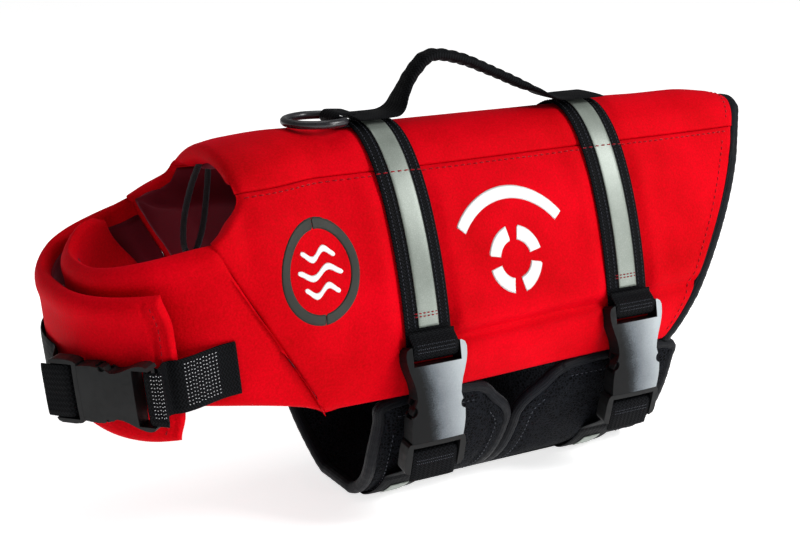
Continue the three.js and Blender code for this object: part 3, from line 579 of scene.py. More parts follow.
def tube(name, path, radius, material, closed=False, spacing=1.5, sides=16, flat=1.0, lay=0.0, radii=None):
    p = spline(path, spacing, closed)
    T, N, B = frames(p, closed)
    n = len(p)
    r = np.full(n, radius) if radii is None else np.interp(np.linspace(0, 1, n), np.linspace(0, 1, len(radii)), radii)
    r = r * (1 + lay * np.sin(np.arange(n) * 1.7))
    a = np.linspace(0, 2 * math.pi, sides, endpoint=False)
    points = (p[:, None] + N[:, None] * (np.cos(a) * r[:, None])[..., None]
              + B[:, None] * (np.sin(a) * r[:, None] * flat)[..., None])
    index = np.arange(n * sides).reshape(n, sides)
    grid = np.concatenate([index, index[:, :1]], axis=1)
    if closed:
        grid = np.concatenate([grid, grid[:1]])
    faces = quads(grid).tolist()
    if not closed:
        faces += [tuple(index[0]), tuple(index[-1][::-1])]
    s = np.arange(n) * spacing
    uv = stack(np.broadcast_to(s[:, None], (n, sides)), np.broadcast_to(a * radius, (n, sides))).reshape(-1, 2)
    return add_mesh(name, points.reshape(-1, 3), faces, material, uv)


def beads(name, ends, normals, radius, material):
    """Stitches: one small thread bead for each pair of end points."""
    a, b, n = np.array([e[0] for e in ends]), np.array([e[1] for e in ends]), unit(np.array(normals))
    T = unit(b - a)
    side = unit(np.cross(T, n))
    up = np.cross(side, T)
    along = np.array([0, 0.2, 0.5, 0.8, 1])
    thick = np.array([0.35, 0.9, 1, 0.9, 0.35]) * radius
    rise = np.array([-0.5, 0.3, 0.6, 0.3, -0.5]) * radius
    angle = np.linspace(0, 2 * math.pi, 6, endpoint=False)
    c = a[:, None] + (b - a)[:, None] * along[:, None] + up[:, None] * rise[:, None]
    points = (c[:, :, None] + side[:, None, None] * (np.cos(angle) * thick[:, None])[..., None]
              + up[:, None, None] * (np.sin(angle) * thick[:, None])[..., None])
    ring = np.arange(30).reshape(5, 6)
    one = quads(np.concatenate([ring, ring[:, :1]], axis=1)).tolist() + [tuple(ring[0]), tuple(ring[-1][::-1])]
    faces = [tuple(k + 30 * i for k in f) for i in range(len(a)) for f in one]
    return add_mesh(name, points.reshape(-1, 3), faces, material)


def tree_of(*names):
    """A search tree over built pieces, in millimetres."""
    points, faces = [], []
    for name in names:
        base = len(points)
        mesh = pieces[name].data
        points += [v.co / MM for v in mesh.vertices]
        faces += [tuple(base + k for k in f.vertices) for f in mesh.polygons]
    return BVHTree.FromPolygons(points, faces)


def land(tree, points, ways, start=30):
    """Where each point meets the pieces' outside, looking back along its way, and the face's normal there."""
    spots, normals, ok = [], [], []
    for p, w in zip(points, ways):
        hit, normal, _, _ = tree.ray_cast(Vector(p + w * start), Vector(-w), start * 2)
        ok.append(hit is not None)
        spots.append(hit if hit is not None else p)
        normals.append(normal if normal is not None and normal.dot(Vector(w)) > 0 else w)
    return np.array(spots, float), np.array(normals, float), np.array(ok)


def run_stitch(path, ways, tree, length, pause):
    """End points and normals of the stitches along a path that is laid on the pieces."""
    s = arc_length(path)
    at = lambda t, of: stack(*[np.interp(t, s, of[:, k]) for k in range(3)])
    begin = np.arange(0.5, s[-1] - length, length + pause)
    a, na, oka = land(tree, at(begin, path), unit(at(begin, ways)))
    b, nb, okb = land(tree, at(begin + length, path), unit(at(begin + length, ways)))
    keep = oka & okb & (np.linalg.norm(a - b, axis=1) < length * 1.6)
    return list(zip(a[keep], b[keep])), list(unit(na + nb)[keep])


# ---- Padded panels ----
def strap_press(x):
    """1 under a body strap, 0 away from it."""
    return np.maximum(np.exp(-((x + STRAP_X) / 15.5) ** 8), np.exp(-((x - STRAP_X) / 15.5) ** 8))


def swell(away, size, reach=24):
    return size * smooth(np.minimum.reduce(away) / reach)


def side_relief(P, away):
    x, z = P[..., 0], P[..., 2]
    free = 1 - strap_press(x)
    beside = bell(np.abs(x + STRAP_X) - 20, 6) + bell(np.abs(x - STRAP_X) - 20, 6)
    fold = smooth((x + 66) / 24) * (1 - 0.5 * smooth((x - 60) / 30))
    valley = CREASE_DEPTH * bell(z - CREASE_Z - 0.02 * x, CREASE_WIDTH)
    crease = fold * (2.0 * bell(z - 103, 7) + 1.4 * bell(z - 83, 8) - valley)
    pull = bell(z - 118 + 0.28 * (x + 110), 14) * smooth((-72 - x) / 30)
    return free * (swell(away, 1.5) + 0.7 * beside + crease + 0.5 * pull) + 0.35 * free * wobble(P, 26, 1) \
        + 0.12 * wobble(P, 9, 2) * free


def spine_relief(P, away):
    free = 1 - strap_press(P[..., 0])
    under_handle = bell(P[..., 1], 16) * smooth((P[..., 0] + 96) / 6) * smooth((82 - P[..., 0]) / 6)
    return free * (1 - under_handle) * (swell(away, 1.3, 14) + 0.3 * wobble(P, 24, 3))


def flap_relief(P, away):
    middle = CHEST_STRAP_Z + (P[..., 0] + 205) * math.tan(LEAN)
    strap = np.exp(-((P[..., 2] - middle) / 14) ** 6) * smooth((-150 - P[..., 0]) / 10)
    lip = 0.9 * bell(away[3] - 7, 4.5) + 0.8 * bell(away[2] - 7, 5)
    piping = -1.5 * bell(away[1] - 4.4, 0.9) - 1.2 * bell(away[1] - 8.6, 0.9) + 0.5 * bell(away[1] - 6.5, 1.3)
    return (1 - strap) * (lip + 0.35 * wobble(P, 22, 4)) + piping


def inner_relief(P, away):
    lip = 1.0 * bell(away[3] - 7, 4.5) * smooth((away[1] - 4) / 6)
    hidden = smooth((-178 - P[..., 0]) / 12)
    fold = 0.6 * bell(P[..., 2] - 112 + 0.5 * (P[..., 0] + 150), 10)
    return lip + (1 - hidden) * (0.5 * wobble(P, 20, 5) + swell(away, 1.0) + fold)


def panel(name, face, inward, lengths, thickness, edges, relief, skips, nodes, lining_node, spread=28):
    outer, inner, normal = padded_grid(face, inward, lengths, thickness, edges, relief, step=1.8, spread=spread)
    cover = add_mesh(name, *slab(outer, inner), RED)
    settle(cover, "jacket", "neoprene", *nodes, fill=0.8)
    skin = add_mesh(name + "_lining", *slab(*lining_grid(inner, normal, skips)), MAROON)
    settle(skin, "jacket", "lining", lining_node)
    return outer


SEWN = 3.2  # how thick a panel is where it is sewn to the next


def dart_edge(P):
    """Thin where the panel is sewn at the dart, full where it is the neck's rim."""
    return SEWN + 5 * smooth((P[..., 2] - DART_TOP + 4) / 7)


edge_lines = {}
edge_lines["spine"] = panel(
    "spine_panel", spine_face, 1, (78, 312), PADDING, (SEWN, SEWN, 9, 7), spine_relief, (2, 2, 6, 5),
    ("spine_cover", "spine_foam"), "spine_lining")
for word, sign in (("left", -1), ("right", 1)):
    edge_lines[word] = panel(
        word + "_side_panel", side_face(sign), sign, (285, 107), PADDING, (dart_edge, 7, 9, SEWN), side_relief,
        (4, 5, 6, 2), (word + "_side_cover", word + "_side_foam"), word + "_side_lining")
panel("left_chest_flap", inner_flap, 1, (200, 66), FLAP, (SEWN, 6, 8.5, 9), inner_relief, (3, 32, 6, 6),
      ("left_chest_cover",), "left_chest_lining", 12)
panel("right_chest_flap", outer_flap, -1, (245, 62), FLAP, (SEWN, 6.8, 8, 8.5), flap_relief, (3, 6, 6, 6),
      ("right_chest_cover",), "right_chest_lining", 12)


# ---- Buckles, drawn flat as (across, along, through), then bent into place ----
def flat_solid(outline, low, high):
    """A prism in millimetres as a scratch object."""
    mesh = bpy.data.meshes.new("scratch")
    n = len(outline)
    sides = [(i, (i + 1) % n, n + (i + 1) % n, n + i) for i in range(n)]
    mesh.from_pydata([(x, y, low) for x, y in outline] + [(x, y, high) for x, y in outline], [],
                     [tuple(range(n))[::-1], tuple(range(n, 2 * n))] + sides)
    work = bmesh.new()
    work.from_mesh(mesh)
    bmesh.ops.recalc_face_normals(work, faces=work.faces)
    work.to_mesh(mesh)
    work.free()
    return linked("scratch", mesh)


def block(across, low, high, below, above):
    return flat_solid([(-across, low), (across, low), (across, high), (-across, high)], below, above)


def mirrored(points):
    return points + [(-x, y) for x, y in reversed(points)]


def combined(base, steps):
    """The base with each (operation, solid) done to it, as a mesh. The scratch objects go."""
    for operation, solid in steps:
        m = base.modifiers.new("step", "BOOLEAN")
        m.operation, m.solver, m.object = operation, "EXACT", solid
    bevel = base.modifiers.new("edges", "BEVEL")
    bevel.width, bevel.segments, bevel.limit_method, bevel.angle_limit = 0.55, 2, "ANGLE", math.radians(38)
    bevel.use_clamp_overlap = True
    mesh = bpy.data.meshes.new_from_object(base.evaluated_get(bpy.context.evaluated_depsgraph_get()))
    for o in [base] + [s for _, s in steps]:
        bpy.data.objects.remove(o)
    return mesh


def arc(cx, cy, r, start, end, count=8):
    return [(cx + r * math.cos(math.radians(a)), cy + r * math.sin(math.radians(a)))
            for a in np.linspace(start, end, count)]


def socket_mesh(b):
    """A socket with a waist, a round release notch on each side, and a strap bar at its far end."""
    k, top = b["length"] / 46, b["length"]
    h = b["half"]
    right = [(h - 2.4, 0), (h - 2.0, 4 * k), (h - 1.8, 9 * k), (h - 2.1, 13.2 * k)]
    right += arc(h - 1.9, 16.2 * k, 2.7 * k, -100, -235, 9)
    right += [(h - 4.5, 21.5 * k), (h - 4.2, 25 * k), (h - 3.2, 29 * k), (h - 1.9, 32.6 * k), (h - 0.8, 36 * k),
              (h - 0.1, 39.5 * k), (h, 42 * k), (h, top - 3), (h - 0.7, top - 1.1), (h - 2.6, top)]
    base = flat_solid(mirrored(right), -b["thick"], b["thick"])
    slot = (top - b["bar"] - b["slot"], top - b["bar"])
    reach = b["bar_half"] + 0.1
    steps = [("DIFFERENCE", block(b["cavity_half"], -1, b["window"][1] - 0.5, -b["through"], b["through"])),
             ("DIFFERENCE", block(b["guide"] + 0.5, -0.5, b["cavity"], -b["through"] + 0.01, b["through"] - 0.01)),
             ("DIFFERENCE", block(h + 2, *b["window"], -b["through"], b["through"])),
             ("DIFFERENCE", block(b["slot_half"], *slot, -9, 9)),
             ("DIFFERENCE", block(b["slot_half"], slot[0], top + 2, reach, 9)),
             ("DIFFERENCE", block(b["slot_half"], slot[0], top + 2, -9, -reach))]
    return combined(base, steps)


def plug_mesh(b):
    """The plug's frame with its middle bar, guide tongue and two prongs."""
    top, h = -b["clear"], b["half"]
    base_y = top - b["frame"]
    right = [(h - 2.6, base_y), (h - 0.8, base_y + 0.9), (h, base_y + 2.8), (h, top - 5), (h - 0.6, top - 1.5),
             (h - 1.6, top)]
    t = b["thick"] - 0.4
    base = flat_solid(mirrored(right), -t, t)
    reach = b["bar_half"] + 0.1
    mid = top - b["frame"] / 2
    within = b["through"] - b["clear"]
    steps = [("DIFFERENCE", block(b["slot_half"], base_y + b["bar"], top - b["bar"], -9, 9)),
             ("DIFFERENCE", block(b["slot_half"], base_y - 1, top - b["bar"], reach, 9)),
             ("DIFFERENCE", block(b["slot_half"], base_y - 1, top - b["bar"], -9, -reach)),
             ("UNION", block(b["slot_half"] + 0.5, mid - b["bar"] / 2, mid + b["bar"] / 2,
                             -b["bar_half"], b["bar_half"])),
             ("UNION", block(b["guide"], top - 0.5, b["cavity"] - 1, -within, within))]
    outer = b["cavity_half"] - b["clear"]
    low, (w0, w1) = -1.5, b["window"]
    for side in (-1, 1):
        shape = [(outer - 3.2, low), (outer, low), (outer, w0 + 0.4), (outer + 1.2, w0 + 0.8),
                 (outer + 1.8, w0 + 2.4), (outer + 1.2, w0 + 4.4), (outer - 2, w1 - 1),
                 (outer - 5, w1 - 1), (outer - 4, w0 + 2)]
        steps.append(("UNION", flat_solid([(side * x, y) for x, y in shape], -within, within)))
    return combined(base, steps)


def bent_place(x, radius):
    def place(a, l, t):
        angle = math.asin((MOUTH - AXIS_Z) / radius) + l / radius
        return stack(x + a, AXIS_Y - (radius + t) * np.cos(angle), AXIS_Z + (radius + t) * np.sin(angle))
    return place


outward = np.array([-math.cos(CHEST_TURN), -math.sin(CHEST_TURN)])
way = np.array([math.sin(CHEST_TURN), -math.cos(CHEST_TURN)])
near_s = np.linspace(0, PLAN / 2, 4001)
near_xy = np.stack(plan(near_s, FLAP_LIFT), -1)
touch = near_xy[np.argmax(near_xy @ outward)]
CHEST_RISE = CHEST["thick"] + 2 * GAP
MOUTH_SHIFT = (CHEST["frame"] - CHEST["length"]) / 2


def in_plan(l, t):
    l, t = np.broadcast_arrays(np.asarray(l, float), np.asarray(t, float))
    return touch + outward * (CHEST_RISE + t)[..., None] + way * (l + MOUTH_SHIFT)[..., None]


def chest_place(a, l, t):
    p = in_plan(l, t)
    return lean(p[..., 0], p[..., 1], CHEST_STRAP_Z - a)


def fitting(name, flat, place, half, thick, material):
    """A flat buckle mesh, crowned a little, cut fine enough to bend, and put in its place."""
    work = bmesh.new()
    work.from_mesh(flat)
    co = np.array([v.co for v in work.verts])
    for axis, step in ((1, 2.2), (0, 3.3)):
        for at in np.arange(math.floor(co[:, axis].min()) + step, co[:, axis].max(), step):
            spot, normal = [0, 0, 0], [0, 0, 0]
            spot[axis], normal[axis] = at + 0.017, 1
            geometry = work.verts[:] + work.edges[:] + work.faces[:]
            bmesh.ops.bisect_plane(work, geom=geometry, plane_co=spot, plane_no=normal)
    co = np.array([v.co for v in work.verts])
    crown = 1 - 0.13 * np.clip(np.abs(co[:, 0]) / half, 0, 1) ** 2 * (np.abs(co[:, 2]) > thick * 0.6)
    spots = place(co[:, 0], co[:, 1], co[:, 2] * crown) * MM
    for v, p in zip(work.verts, spots):
        v.co = p
    bmesh.ops.recalc_face_normals(work, faces=work.faces)
    mesh = bpy.data.meshes.new(name)
    work.to_mesh(mesh)
    work.free()
    mesh.polygons.foreach_set("use_smooth", [True] * len(mesh.polygons))
    mesh.materials.clear()
    mesh.materials.append(material)
    made = linked(name, mesh)
    shade = made.modifiers.new("shading", "WEIGHTED_NORMAL")
    shade.keep_sharp = True
    pieces[name] = made
    return made


body_socket, body_plug = socket_mesh(BODY), plug_mesh(BODY)
for end, x in (("front", -STRAP_X), ("rear", STRAP_X)):
    place = bent_place(x, RADII[end])
    # The body sockets' grey sheen is a highlight painted into their colour
    settle(fitting(end + "_socket", body_socket, place, BODY["half"], BODY["thick"], PAINTED_SHEEN_PLASTIC), "jacket", "plastic",
           end + "_buckle_socket")
    settle(fitting(end + "_plug", body_plug, place, BODY["half"], BODY["thick"], PLASTIC), "belly_band", "plastic",
           end + "_buckle_plug", end + "_prong_1", end + "_prong_2")
settle(fitting("chest_socket", socket_mesh(CHEST), chest_place, CHEST["half"], CHEST["thick"], PLASTIC), "jacket",
       "plastic", "chest_buckle_socket")
settle(fitting("chest_plug_piece", plug_mesh(CHEST), chest_place, CHEST["half"], CHEST["thick"], PLASTIC), "chest_plug",
       "plastic", "chest_buckle_plug", "chest_prong_1", "chest_prong_2")


# ---- Webbing ----
def hairpin(centre, towards, radius, sign):
    base = math.atan2(towards[1], towards[0])
    angles = base + sign * np.radians(np.linspace(-90, 90, 9))
    return [(centre[0] + radius * math.cos(a), centre[1] + radius * math.sin(a)) for a in angles]


def section(x, start, end, steps, lift):
    angle = np.linspace(start, end, steps + 1)
    p = girth(x, angle)
    q = unit(girth(x, angle + 0.01) - girth(x, angle - 0.01))
    return stack(p[:, 1] - q[:, 2] * lift, p[:, 2] + q[:, 1] * lift)


def on_arc(radius, l, t):
    angle = math.asin((MOUTH - AXIS_Z) / radius) + l / radius
    return np.array([AXIS_Y - (radius + t) * math.cos(angle), AXIS_Z + (radius + t) * math.sin(angle)])


def across_body(x, path):
    path = np.array(path, float)
    return stack(np.full(len(path), float(x)), path[:, 0], path[:, 1])


BAR_LIFT = math.hypot(BODY["bar"] / 2, BODY["bar_half"]) + GAP + WEB_T / 2


def band_point(x, angle, raise_):
    w = half_width(np.maximum(x, CHEST_X)) - raise_
    z = np.maximum(WIDEST - (BAND_DEPTH - raise_) * np.cos(angle), BAND_BOTTOM + raise_)
    return stack(x, w * np.sin(angle), z)


def strip(name, x, path, body, *nodes, tape=False):
    """Webbing, or reflective tape, across the body at x along a path of (y, z) points."""
    width, thickness, material, columns = (TAPE, TAPE_T, TAPE_MAT, 8) if tape else (WEB, WEB_T, WEBBING, 14)
    piece = ribbon(name, across_body(x, path), (1, 0, 0), width, thickness, material, columns=columns)
    return settle(piece, body, "reflective_tape" if tape else "webbing", *nodes)


for end, x in (("front", -STRAP_X), ("rear", STRAP_X)):
    radius = RADII[end]
    lift = GAP + BEDDING + WEB_T / 2
    top = on_arc(radius, BODY["length"] - BODY["bar"] / 2, 0)
    up = unit(on_arc(radius, BODY["length"] - 8, 0) - top)
    tail = section(x, -1.345, LOOP_END, 3, lift + WEB_T + 1.4)
    low = on_arc(radius, BODY["length"] - BODY["bar"] / 2 - 2.3, 0)
    over = section(x, OVER_START, 1.72, 60, lift)
    path = [*tail, on_arc(radius, BODY["length"] - 0.4, BAR_LIFT + 1.0), *hairpin(low, up, BAR_LIFT + 0.2, 1), *over]
    strip(end + "_strap", x, path, "jacket", end + "_body_strap")
    tape = section(x, TAPE_END, 1.6, 50, lift + WEB_T / 2 + TAPE_T / 2 + 0.1)
    strip(end + "_tape", x, tape, "jacket", end + "_reflective_tape", tape=True)
    bar = on_arc(radius, -BODY["clear"] - BODY["frame"] / 2, 0)
    up = unit(on_arc(radius, 0, 0) - bar)
    below = band_point(x, np.linspace(1.18, -0.72, 40), -GAP - BEDDING - WEB_T / 2)[:, 1:]
    below[:, 1] = np.maximum(below[:, 1], WEB_T / 2)
    path = [*below, on_arc(radius, -BODY["frame"] - 1.5, -BAR_LIFT), *hairpin(bar, up, BAR_LIFT, 1),
            on_arc(radius, -BODY["frame"] / 2 - 6, BAR_LIFT + 0.2),
            on_arc(radius, -BODY["frame"] - 5, BAR_LIFT + 0.1)]
    strip(end + "_lower_webbing", x, path, "belly_band", end + "_lower_strap")
    under = -GAP - BEDDING - WEB_T - 0.1 - TAPE_T / 2
    glimpse = band_point(x, np.linspace(-0.36, -0.56, 10), under)[:, 1:]
    strip(end + "_lower_tape", x, glimpse, "belly_band", tape=True)

half = STRAP_X - WEB / 2 - GAP
settle(ribbon("bridge_webbing", [(-half, 0, WEB_T / 2), (0, 0, WEB_T / 2), (half, 0, WEB_T / 2)], (0, 1, 0), 26, WEB_T,
              WEBBING), "belly_band", "webbing", "belly_bridge")

up_lean = np.array([-math.sin(LEAN), 0, math.cos(LEAN)])
outer_end = PLAN / 2 - OUTER_TURN
flat_lean = lambda path: lean(np.array([p[0] for p in path]), np.array([p[1] for p in path]), CHEST_STRAP_Z)
bar = in_plan(CHEST["length"] - CHEST["bar"] / 2, 0)
near_path = [plan(outer_end - d, up) for d, up in ((25, 1.6), (20, 2.0), (15, 3.4), (10, 6.0), (5, 9.0), (0, 11.4))]
near_path += [plan(outer_end + 5, FLAP_LIFT + 1.7), in_plan(CHEST["length"] + 1, -BAR_LIFT)]
near_path += hairpin(bar, -way, BAR_LIFT, 1) + [in_plan(CHEST["length"] + 6, BAR_LIFT - 0.4)]
settle(ribbon("near_chest_webbing", flat_lean(near_path), up_lean, WEB, WEB_T, WEBBING, columns=14), "jacket",
       "webbing", "near_chest_strap")
bar = in_plan(-CHEST["clear"] - CHEST["frame"] / 2, 0)
far_path = [plan(mix(PLAN - 38, PLAN / 2 - 4, i / 15), FLAP_LIFT + 0.9 + WEB_T / 2) for i in range(16)]
far_path += [in_plan(-CHEST["frame"] - 1.2, -BAR_LIFT)] + hairpin(bar, way, BAR_LIFT, -1)
far_path += [in_plan(-CHEST["frame"] / 2 - 6, BAR_LIFT + 0.2), in_plan(-CHEST["frame"] - 4, BAR_LIFT)]
far_line = flat_lean(far_path)
outer_tree = tree_of("right_chest_flap")
for i in range(13):  # the sewn part lies on the flap
    spot, face_out = outer_tree.find_nearest(Vector(far_line[i]))[:2]
    laid = np.array(spot) + unit(np.array([face_out.x, face_out.y, 0.0])) * (0.9 + WEB_T / 2)
    far_line[i, :2] = mix(laid[:2], far_line[i, :2], smooth((i - 8) / 4))
far = ribbon("far_chest_webbing", far_line, up_lean, WEB, WEB_T, WEBBING, columns=14)
tuple(flat_lean([plan(PLAN / 2 + 12, 12)])[0] * MM)
tuple(flat_lean([in_plan(-CHEST["frame"], 0)])[0] * MM)
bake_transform(far)
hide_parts("far_chest_strap")

# Grab handle: one length of webbing, flat where it is sewn down and folded into a rope-like grip between.
base_z = BACK + 0.35 + 1.5 * WEB_T + TAPE_T + 3 * GAP
grip = [(-71, base_z), (-62, base_z), (-54, base_z), (-48.5, base_z + 0.5), (-44.6, base_z + 3.2), (-41.5, 201),
        (-35, 211), (-25, 218.6), (-8, 216), (12, 208), (30, 200), (38.6, 196.4), (43.5, 193.6), (50, base_z),
        (60, base_z), (74, base_z)]
grip_path = [(x, 0, z) for x, z in grip]
rope = np.interp(np.linspace(0, 1, 140), np.linspace(0, 1, 23), [
    1.5, 1.5, 1.5, 1.8, 3, 4.4, 5.4, 5.8, 5.8, 5.8, 5.8, 5.6, 5.4, 5.2, 5, 5, 4.4, 2.8, 1.6, 1.5, 1.5, 1.5, 1.5])
rope = rope + 0.14 * (rope - 1.5) * np.sin(np.arange(140) * 1.25)
handle = ribbon("grip", grip_path, (0, 1, 0),
                [25, 25, 25, 24, 19, 13.5, 11.5, 11.5, 11.5, 11, 11, 10.5, 10, 9.5, 9.5, 10, 12, 19, 24, 25, 25, 25,
                 25],
                rope, WEBBING, columns=14, crown=2.6, spacing=0.8)
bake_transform(handle)
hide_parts("grab_handle", "front_handle_base", "rear_handle_base")

# Leash ring and its loop
ring_z = BACK + 4
bow = [(RING_X - 8 - (RING_REACH - 8) * math.cos(a), RING_HALF * math.sin(a), ring_z)
       for a in np.linspace(math.pi / 2, -math.pi / 2, 9)]
ring_path = bow + [(RING_X, t * RING_HALF, ring_z) for t in (-0.8, -0.4, 0, 0.4, 0.8)]
settle(tube("leash_ring_piece", ring_path, RING_WIRE + 0.25, RING, closed=True, spacing=0.9, sides=18), "leash_ring",
       "plastic", "d_ring")
loop_r = RING_WIRE + 0.5 + WEB_T / 2
turn = [(RING_X + loop_r * math.cos(a), 0, ring_z + loop_r * math.sin(a))
        for a in np.linspace(math.pi / 2, math.pi * 1.5, 9)]
loop_path = [(RING_X + 7.5, 0, ring_z + loop_r - 0.6), *turn, (RING_X + 4.4, 0, ring_z - loop_r)]
settle(ribbon("ring_webbing", loop_path, (0, 1, 0), 17.4, WEB_T * 0.9, WEBBING, spacing=0.7),
       "jacket", "webbing", "d_ring_loop")


# ---- Belly band ----
def band_angle(z, raise_):
    return np.arccos(np.clip((WIDEST - z) / (BAND_DEPTH - raise_), -1, 1))


def pad_region(front, rear):
    def region(raise_, margin, top):
        def face(u, v):
            reach = band_angle(top, PAD_T / 2)
            angle = mix(-reach, reach, v)
            z = WIDEST - BAND_DEPTH * np.cos(angle)
            slant = lambda edge: margin * np.hypot(1, edge(z + 0.5) - edge(z - 0.5))
            return band_point(mix(front(z) - slant(front), rear(z) + slant(rear), u), angle, raise_)
        return face
    return region


flare = lambda z, size: size * smooth((z - 38) / 26)
regions = {
    "front": pad_region(lambda z: BAND_FRONT + 5 * smooth((40 - z) / 40),
                        lambda z: PAD_GAP_X - PAD_GAP_HALF - flare(z, 20)),
    "rear": pad_region(lambda z: PAD_GAP_X + PAD_GAP_HALF + flare(z, 26), lambda z: BAND_REAR + 0 * z)}


def pad_relief(P, away):
    channel = -0.9 * bell(np.minimum.reduce(away) - 9, 1.3)
    high = smooth((P[..., 2] - 6) / 8)
    return high * (channel + swell(away, 0.9, 16) + 0.25 * wobble(P, 15, 6))


for end, region in regions.items():
    outer, inner, normal = padded_grid(region(0, PAD_TUCK, AXIS_Z), 1, (74, 216), PAD_T, (5, 5, 5, 5), pad_relief,
                                       step=2.4, spread=10)
    pad = add_mesh(end + "_pad", *slab(outer, inner), MESH)
    settle(pad, "belly_band", "mesh", end + "_belly_pad", fill=0.6)
    edge = region(PAD_T / 2, BIND_R + 1.2, AXIS_Z)
    line = []
    around = np.linspace(0.012, 0.988, 31)
    across = np.linspace(0.03, 0.97, 6)[1:-1]
    line += [edge(np.float64(0), v) for v in around] + [edge(u, np.float64(1)) for u in across]
    line += [edge(np.float64(1), v) for v in around[::-1]] + [edge(u, np.float64(0)) for u in across[::-1]]
    settle(tube(end + "_binding", np.array(line), BIND_R, BINDING, closed=True, sides=16, lay=0.02), "belly_band",
           "binding", end + "_belly_binding")

# The strips that join the band to the far hem, inside both
for end, x, width in (("front", -45, 58), ("rear", 52, 70)):
    line = [(x, AXIS_Y - inside, z) for inside, z in ((8.5, 74), (7.5, 69), (4, AXIS_Z), (6.5, 59), (10, 53))]
    joint = ribbon(end + "_hinge_strip", line, (1, 0, 0), width, 1.2, BINDING)
    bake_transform(joint)

# Bound rear edge, along the panels' own edges
side_edge = lambda word: edge_lines[word][-1, :-9:3]
spine_edge = edge_lines["spine"][10:-10:3, -1]
rear_line = np.concatenate([side_edge("left"), spine_edge, side_edge("right")[::-1]]) + (1.2, 0, 0)
settle(tube("rear_binding", rear_line, 3.9, BINDING, sides=16, lay=0.02), "jacket", "binding", "rear_edge_binding")


# Hook and loop between the flaps
def patch_face(offset):
    def face(u, v):
        x, y = plan(PLAN / 2 + mix(-34, 34, u), offset)
        return lean(x, y, mix(97, 128, v))
    return face


for name, node, offset in (("loop_piece", "loop_patch", GAP + 1.1), ("hook_piece", "hook_patch", 2.8)):
    grids = padded_grid(patch_face(offset), 1, (68, 31), 1.1, (1.1,) * 4, lambda P, away: 0.1 * wobble(P, 3, 7),
                        spread=4)
    settle(add_mesh(name, *slab(*grids[:2]), HOOKS), "jacket", "hook_and_loop", node)

# Cord hung from the spine's lining, inside the neck
cord_y, cord_top = section(NECK_X + 6, 0.37, 0.37, 1, -8.1)[0]
cord_line = spline([(NECK_X + 6 + x, cord_y + i / 2, cord_top + z) for i, (x, z) in enumerate(
    [(0, 0), (-5, -12), (-9, -28), (-9, -42), (-4, -45), (1, -33), (4, -16), (5.5, -3.5)])], 1.0)
cord_piece = tube("neck_loop", cord_line, 1.5, CORD, spacing=1.0, sides=12, lay=0.05)
settle(cord_piece, "jacket", "cord", "neck_cord")
cord_length = float(np.sum(np.linalg.norm(np.diff(cord_line, axis=0), axis=1))) * MM
[tuple(p * MM) for p in cord_line]


# ---- Stitching ----
def stitched(name, rows, tree, length, pause, radius, material, body="jacket", slot="neoprene"):
    ends, normals = [], []
    for path, ways in rows:
        e, n = run_stitch(np.array(path), np.array(ways), tree, length, pause)
        ends += e
        normals += n
    return settle(beads(name, ends, normals, radius, material), body, slot)


all_top = tree_of("spine_panel", "left_side_panel", "right_side_panel", "front_strap", "rear_strap", "front_tape",
                  "rear_tape")
x = np.arange(NECK_X + 1, SEAM_REAR, 2.0)
rows = []
for sign in (-1, 1):
    z = np.full(len(x), SEAM - SEAM_STITCH)
    slope = (wall(x, z + 1) - wall(x, z - 1)) / 2
    rows.append((stack(x, sign * wall(x, z), z), unit(stack(0 * x, np.full(len(x), float(sign)), -slope))))
stitched("seam_stitches", rows, all_top, 2.6, 1.1, 0.32, THREAD_RED)


def strap_rows(x, offsets, start, end, lift):
    angle = np.linspace(start, end, 120)
    base = section(x, start, end, 119, lift)
    n = unit(section(x, start, end, 119, lift + 1) - base)
    ways = stack(np.zeros(120), n[:, 0], n[:, 1])
    return [(stack(np.full(120, x + o), base[:, 0], base[:, 1]), ways) for o in offsets]


for end, x in (("front", -STRAP_X), ("rear", STRAP_X)):
    tree = tree_of(end + "_strap", end + "_tape")
    rows = strap_rows(x, (-10.6, -7.2, 7.2, 10.6), TAPE_END, 1.6, 1.4)
    stitched(end + "_strap_stitches", rows, tree, 1.3, 0.7, 0.2, THREAD_BLACK, slot="webbing")
    cross = []
    for a in (-1.262, -1.245):
        p = section(x, a, a + 0.001, 1, 1.4)[0]
        n = unit(section(x, a, a + 0.001, 1, 2.4)[0] - p)
        line = np.linspace(-7.5, 7.5, 8)
        cross.append((stack(x + line, p[0], p[1]), stack(0 * line, n[0], n[1])))
    stitched(end + "_end_stitches", cross, tree, 1.6, 0.6, 0.3, THREAD_RED, slot="reflective_tape")

# Edge stitching of the flaps and of the rear, and the sewn zone of the near chest strap
flap_tree = tree_of("right_chest_flap", "left_chest_flap")
t = np.linspace(0.06, 0.94, 60)


def face_row(face, inward, u, v):
    h = 1e-3
    p = face(u, v)
    n = -inward * unit(np.cross(face(u + h, v) - face(u - h, v), face(u, v + h) - face(u, v - h)))
    return p, n


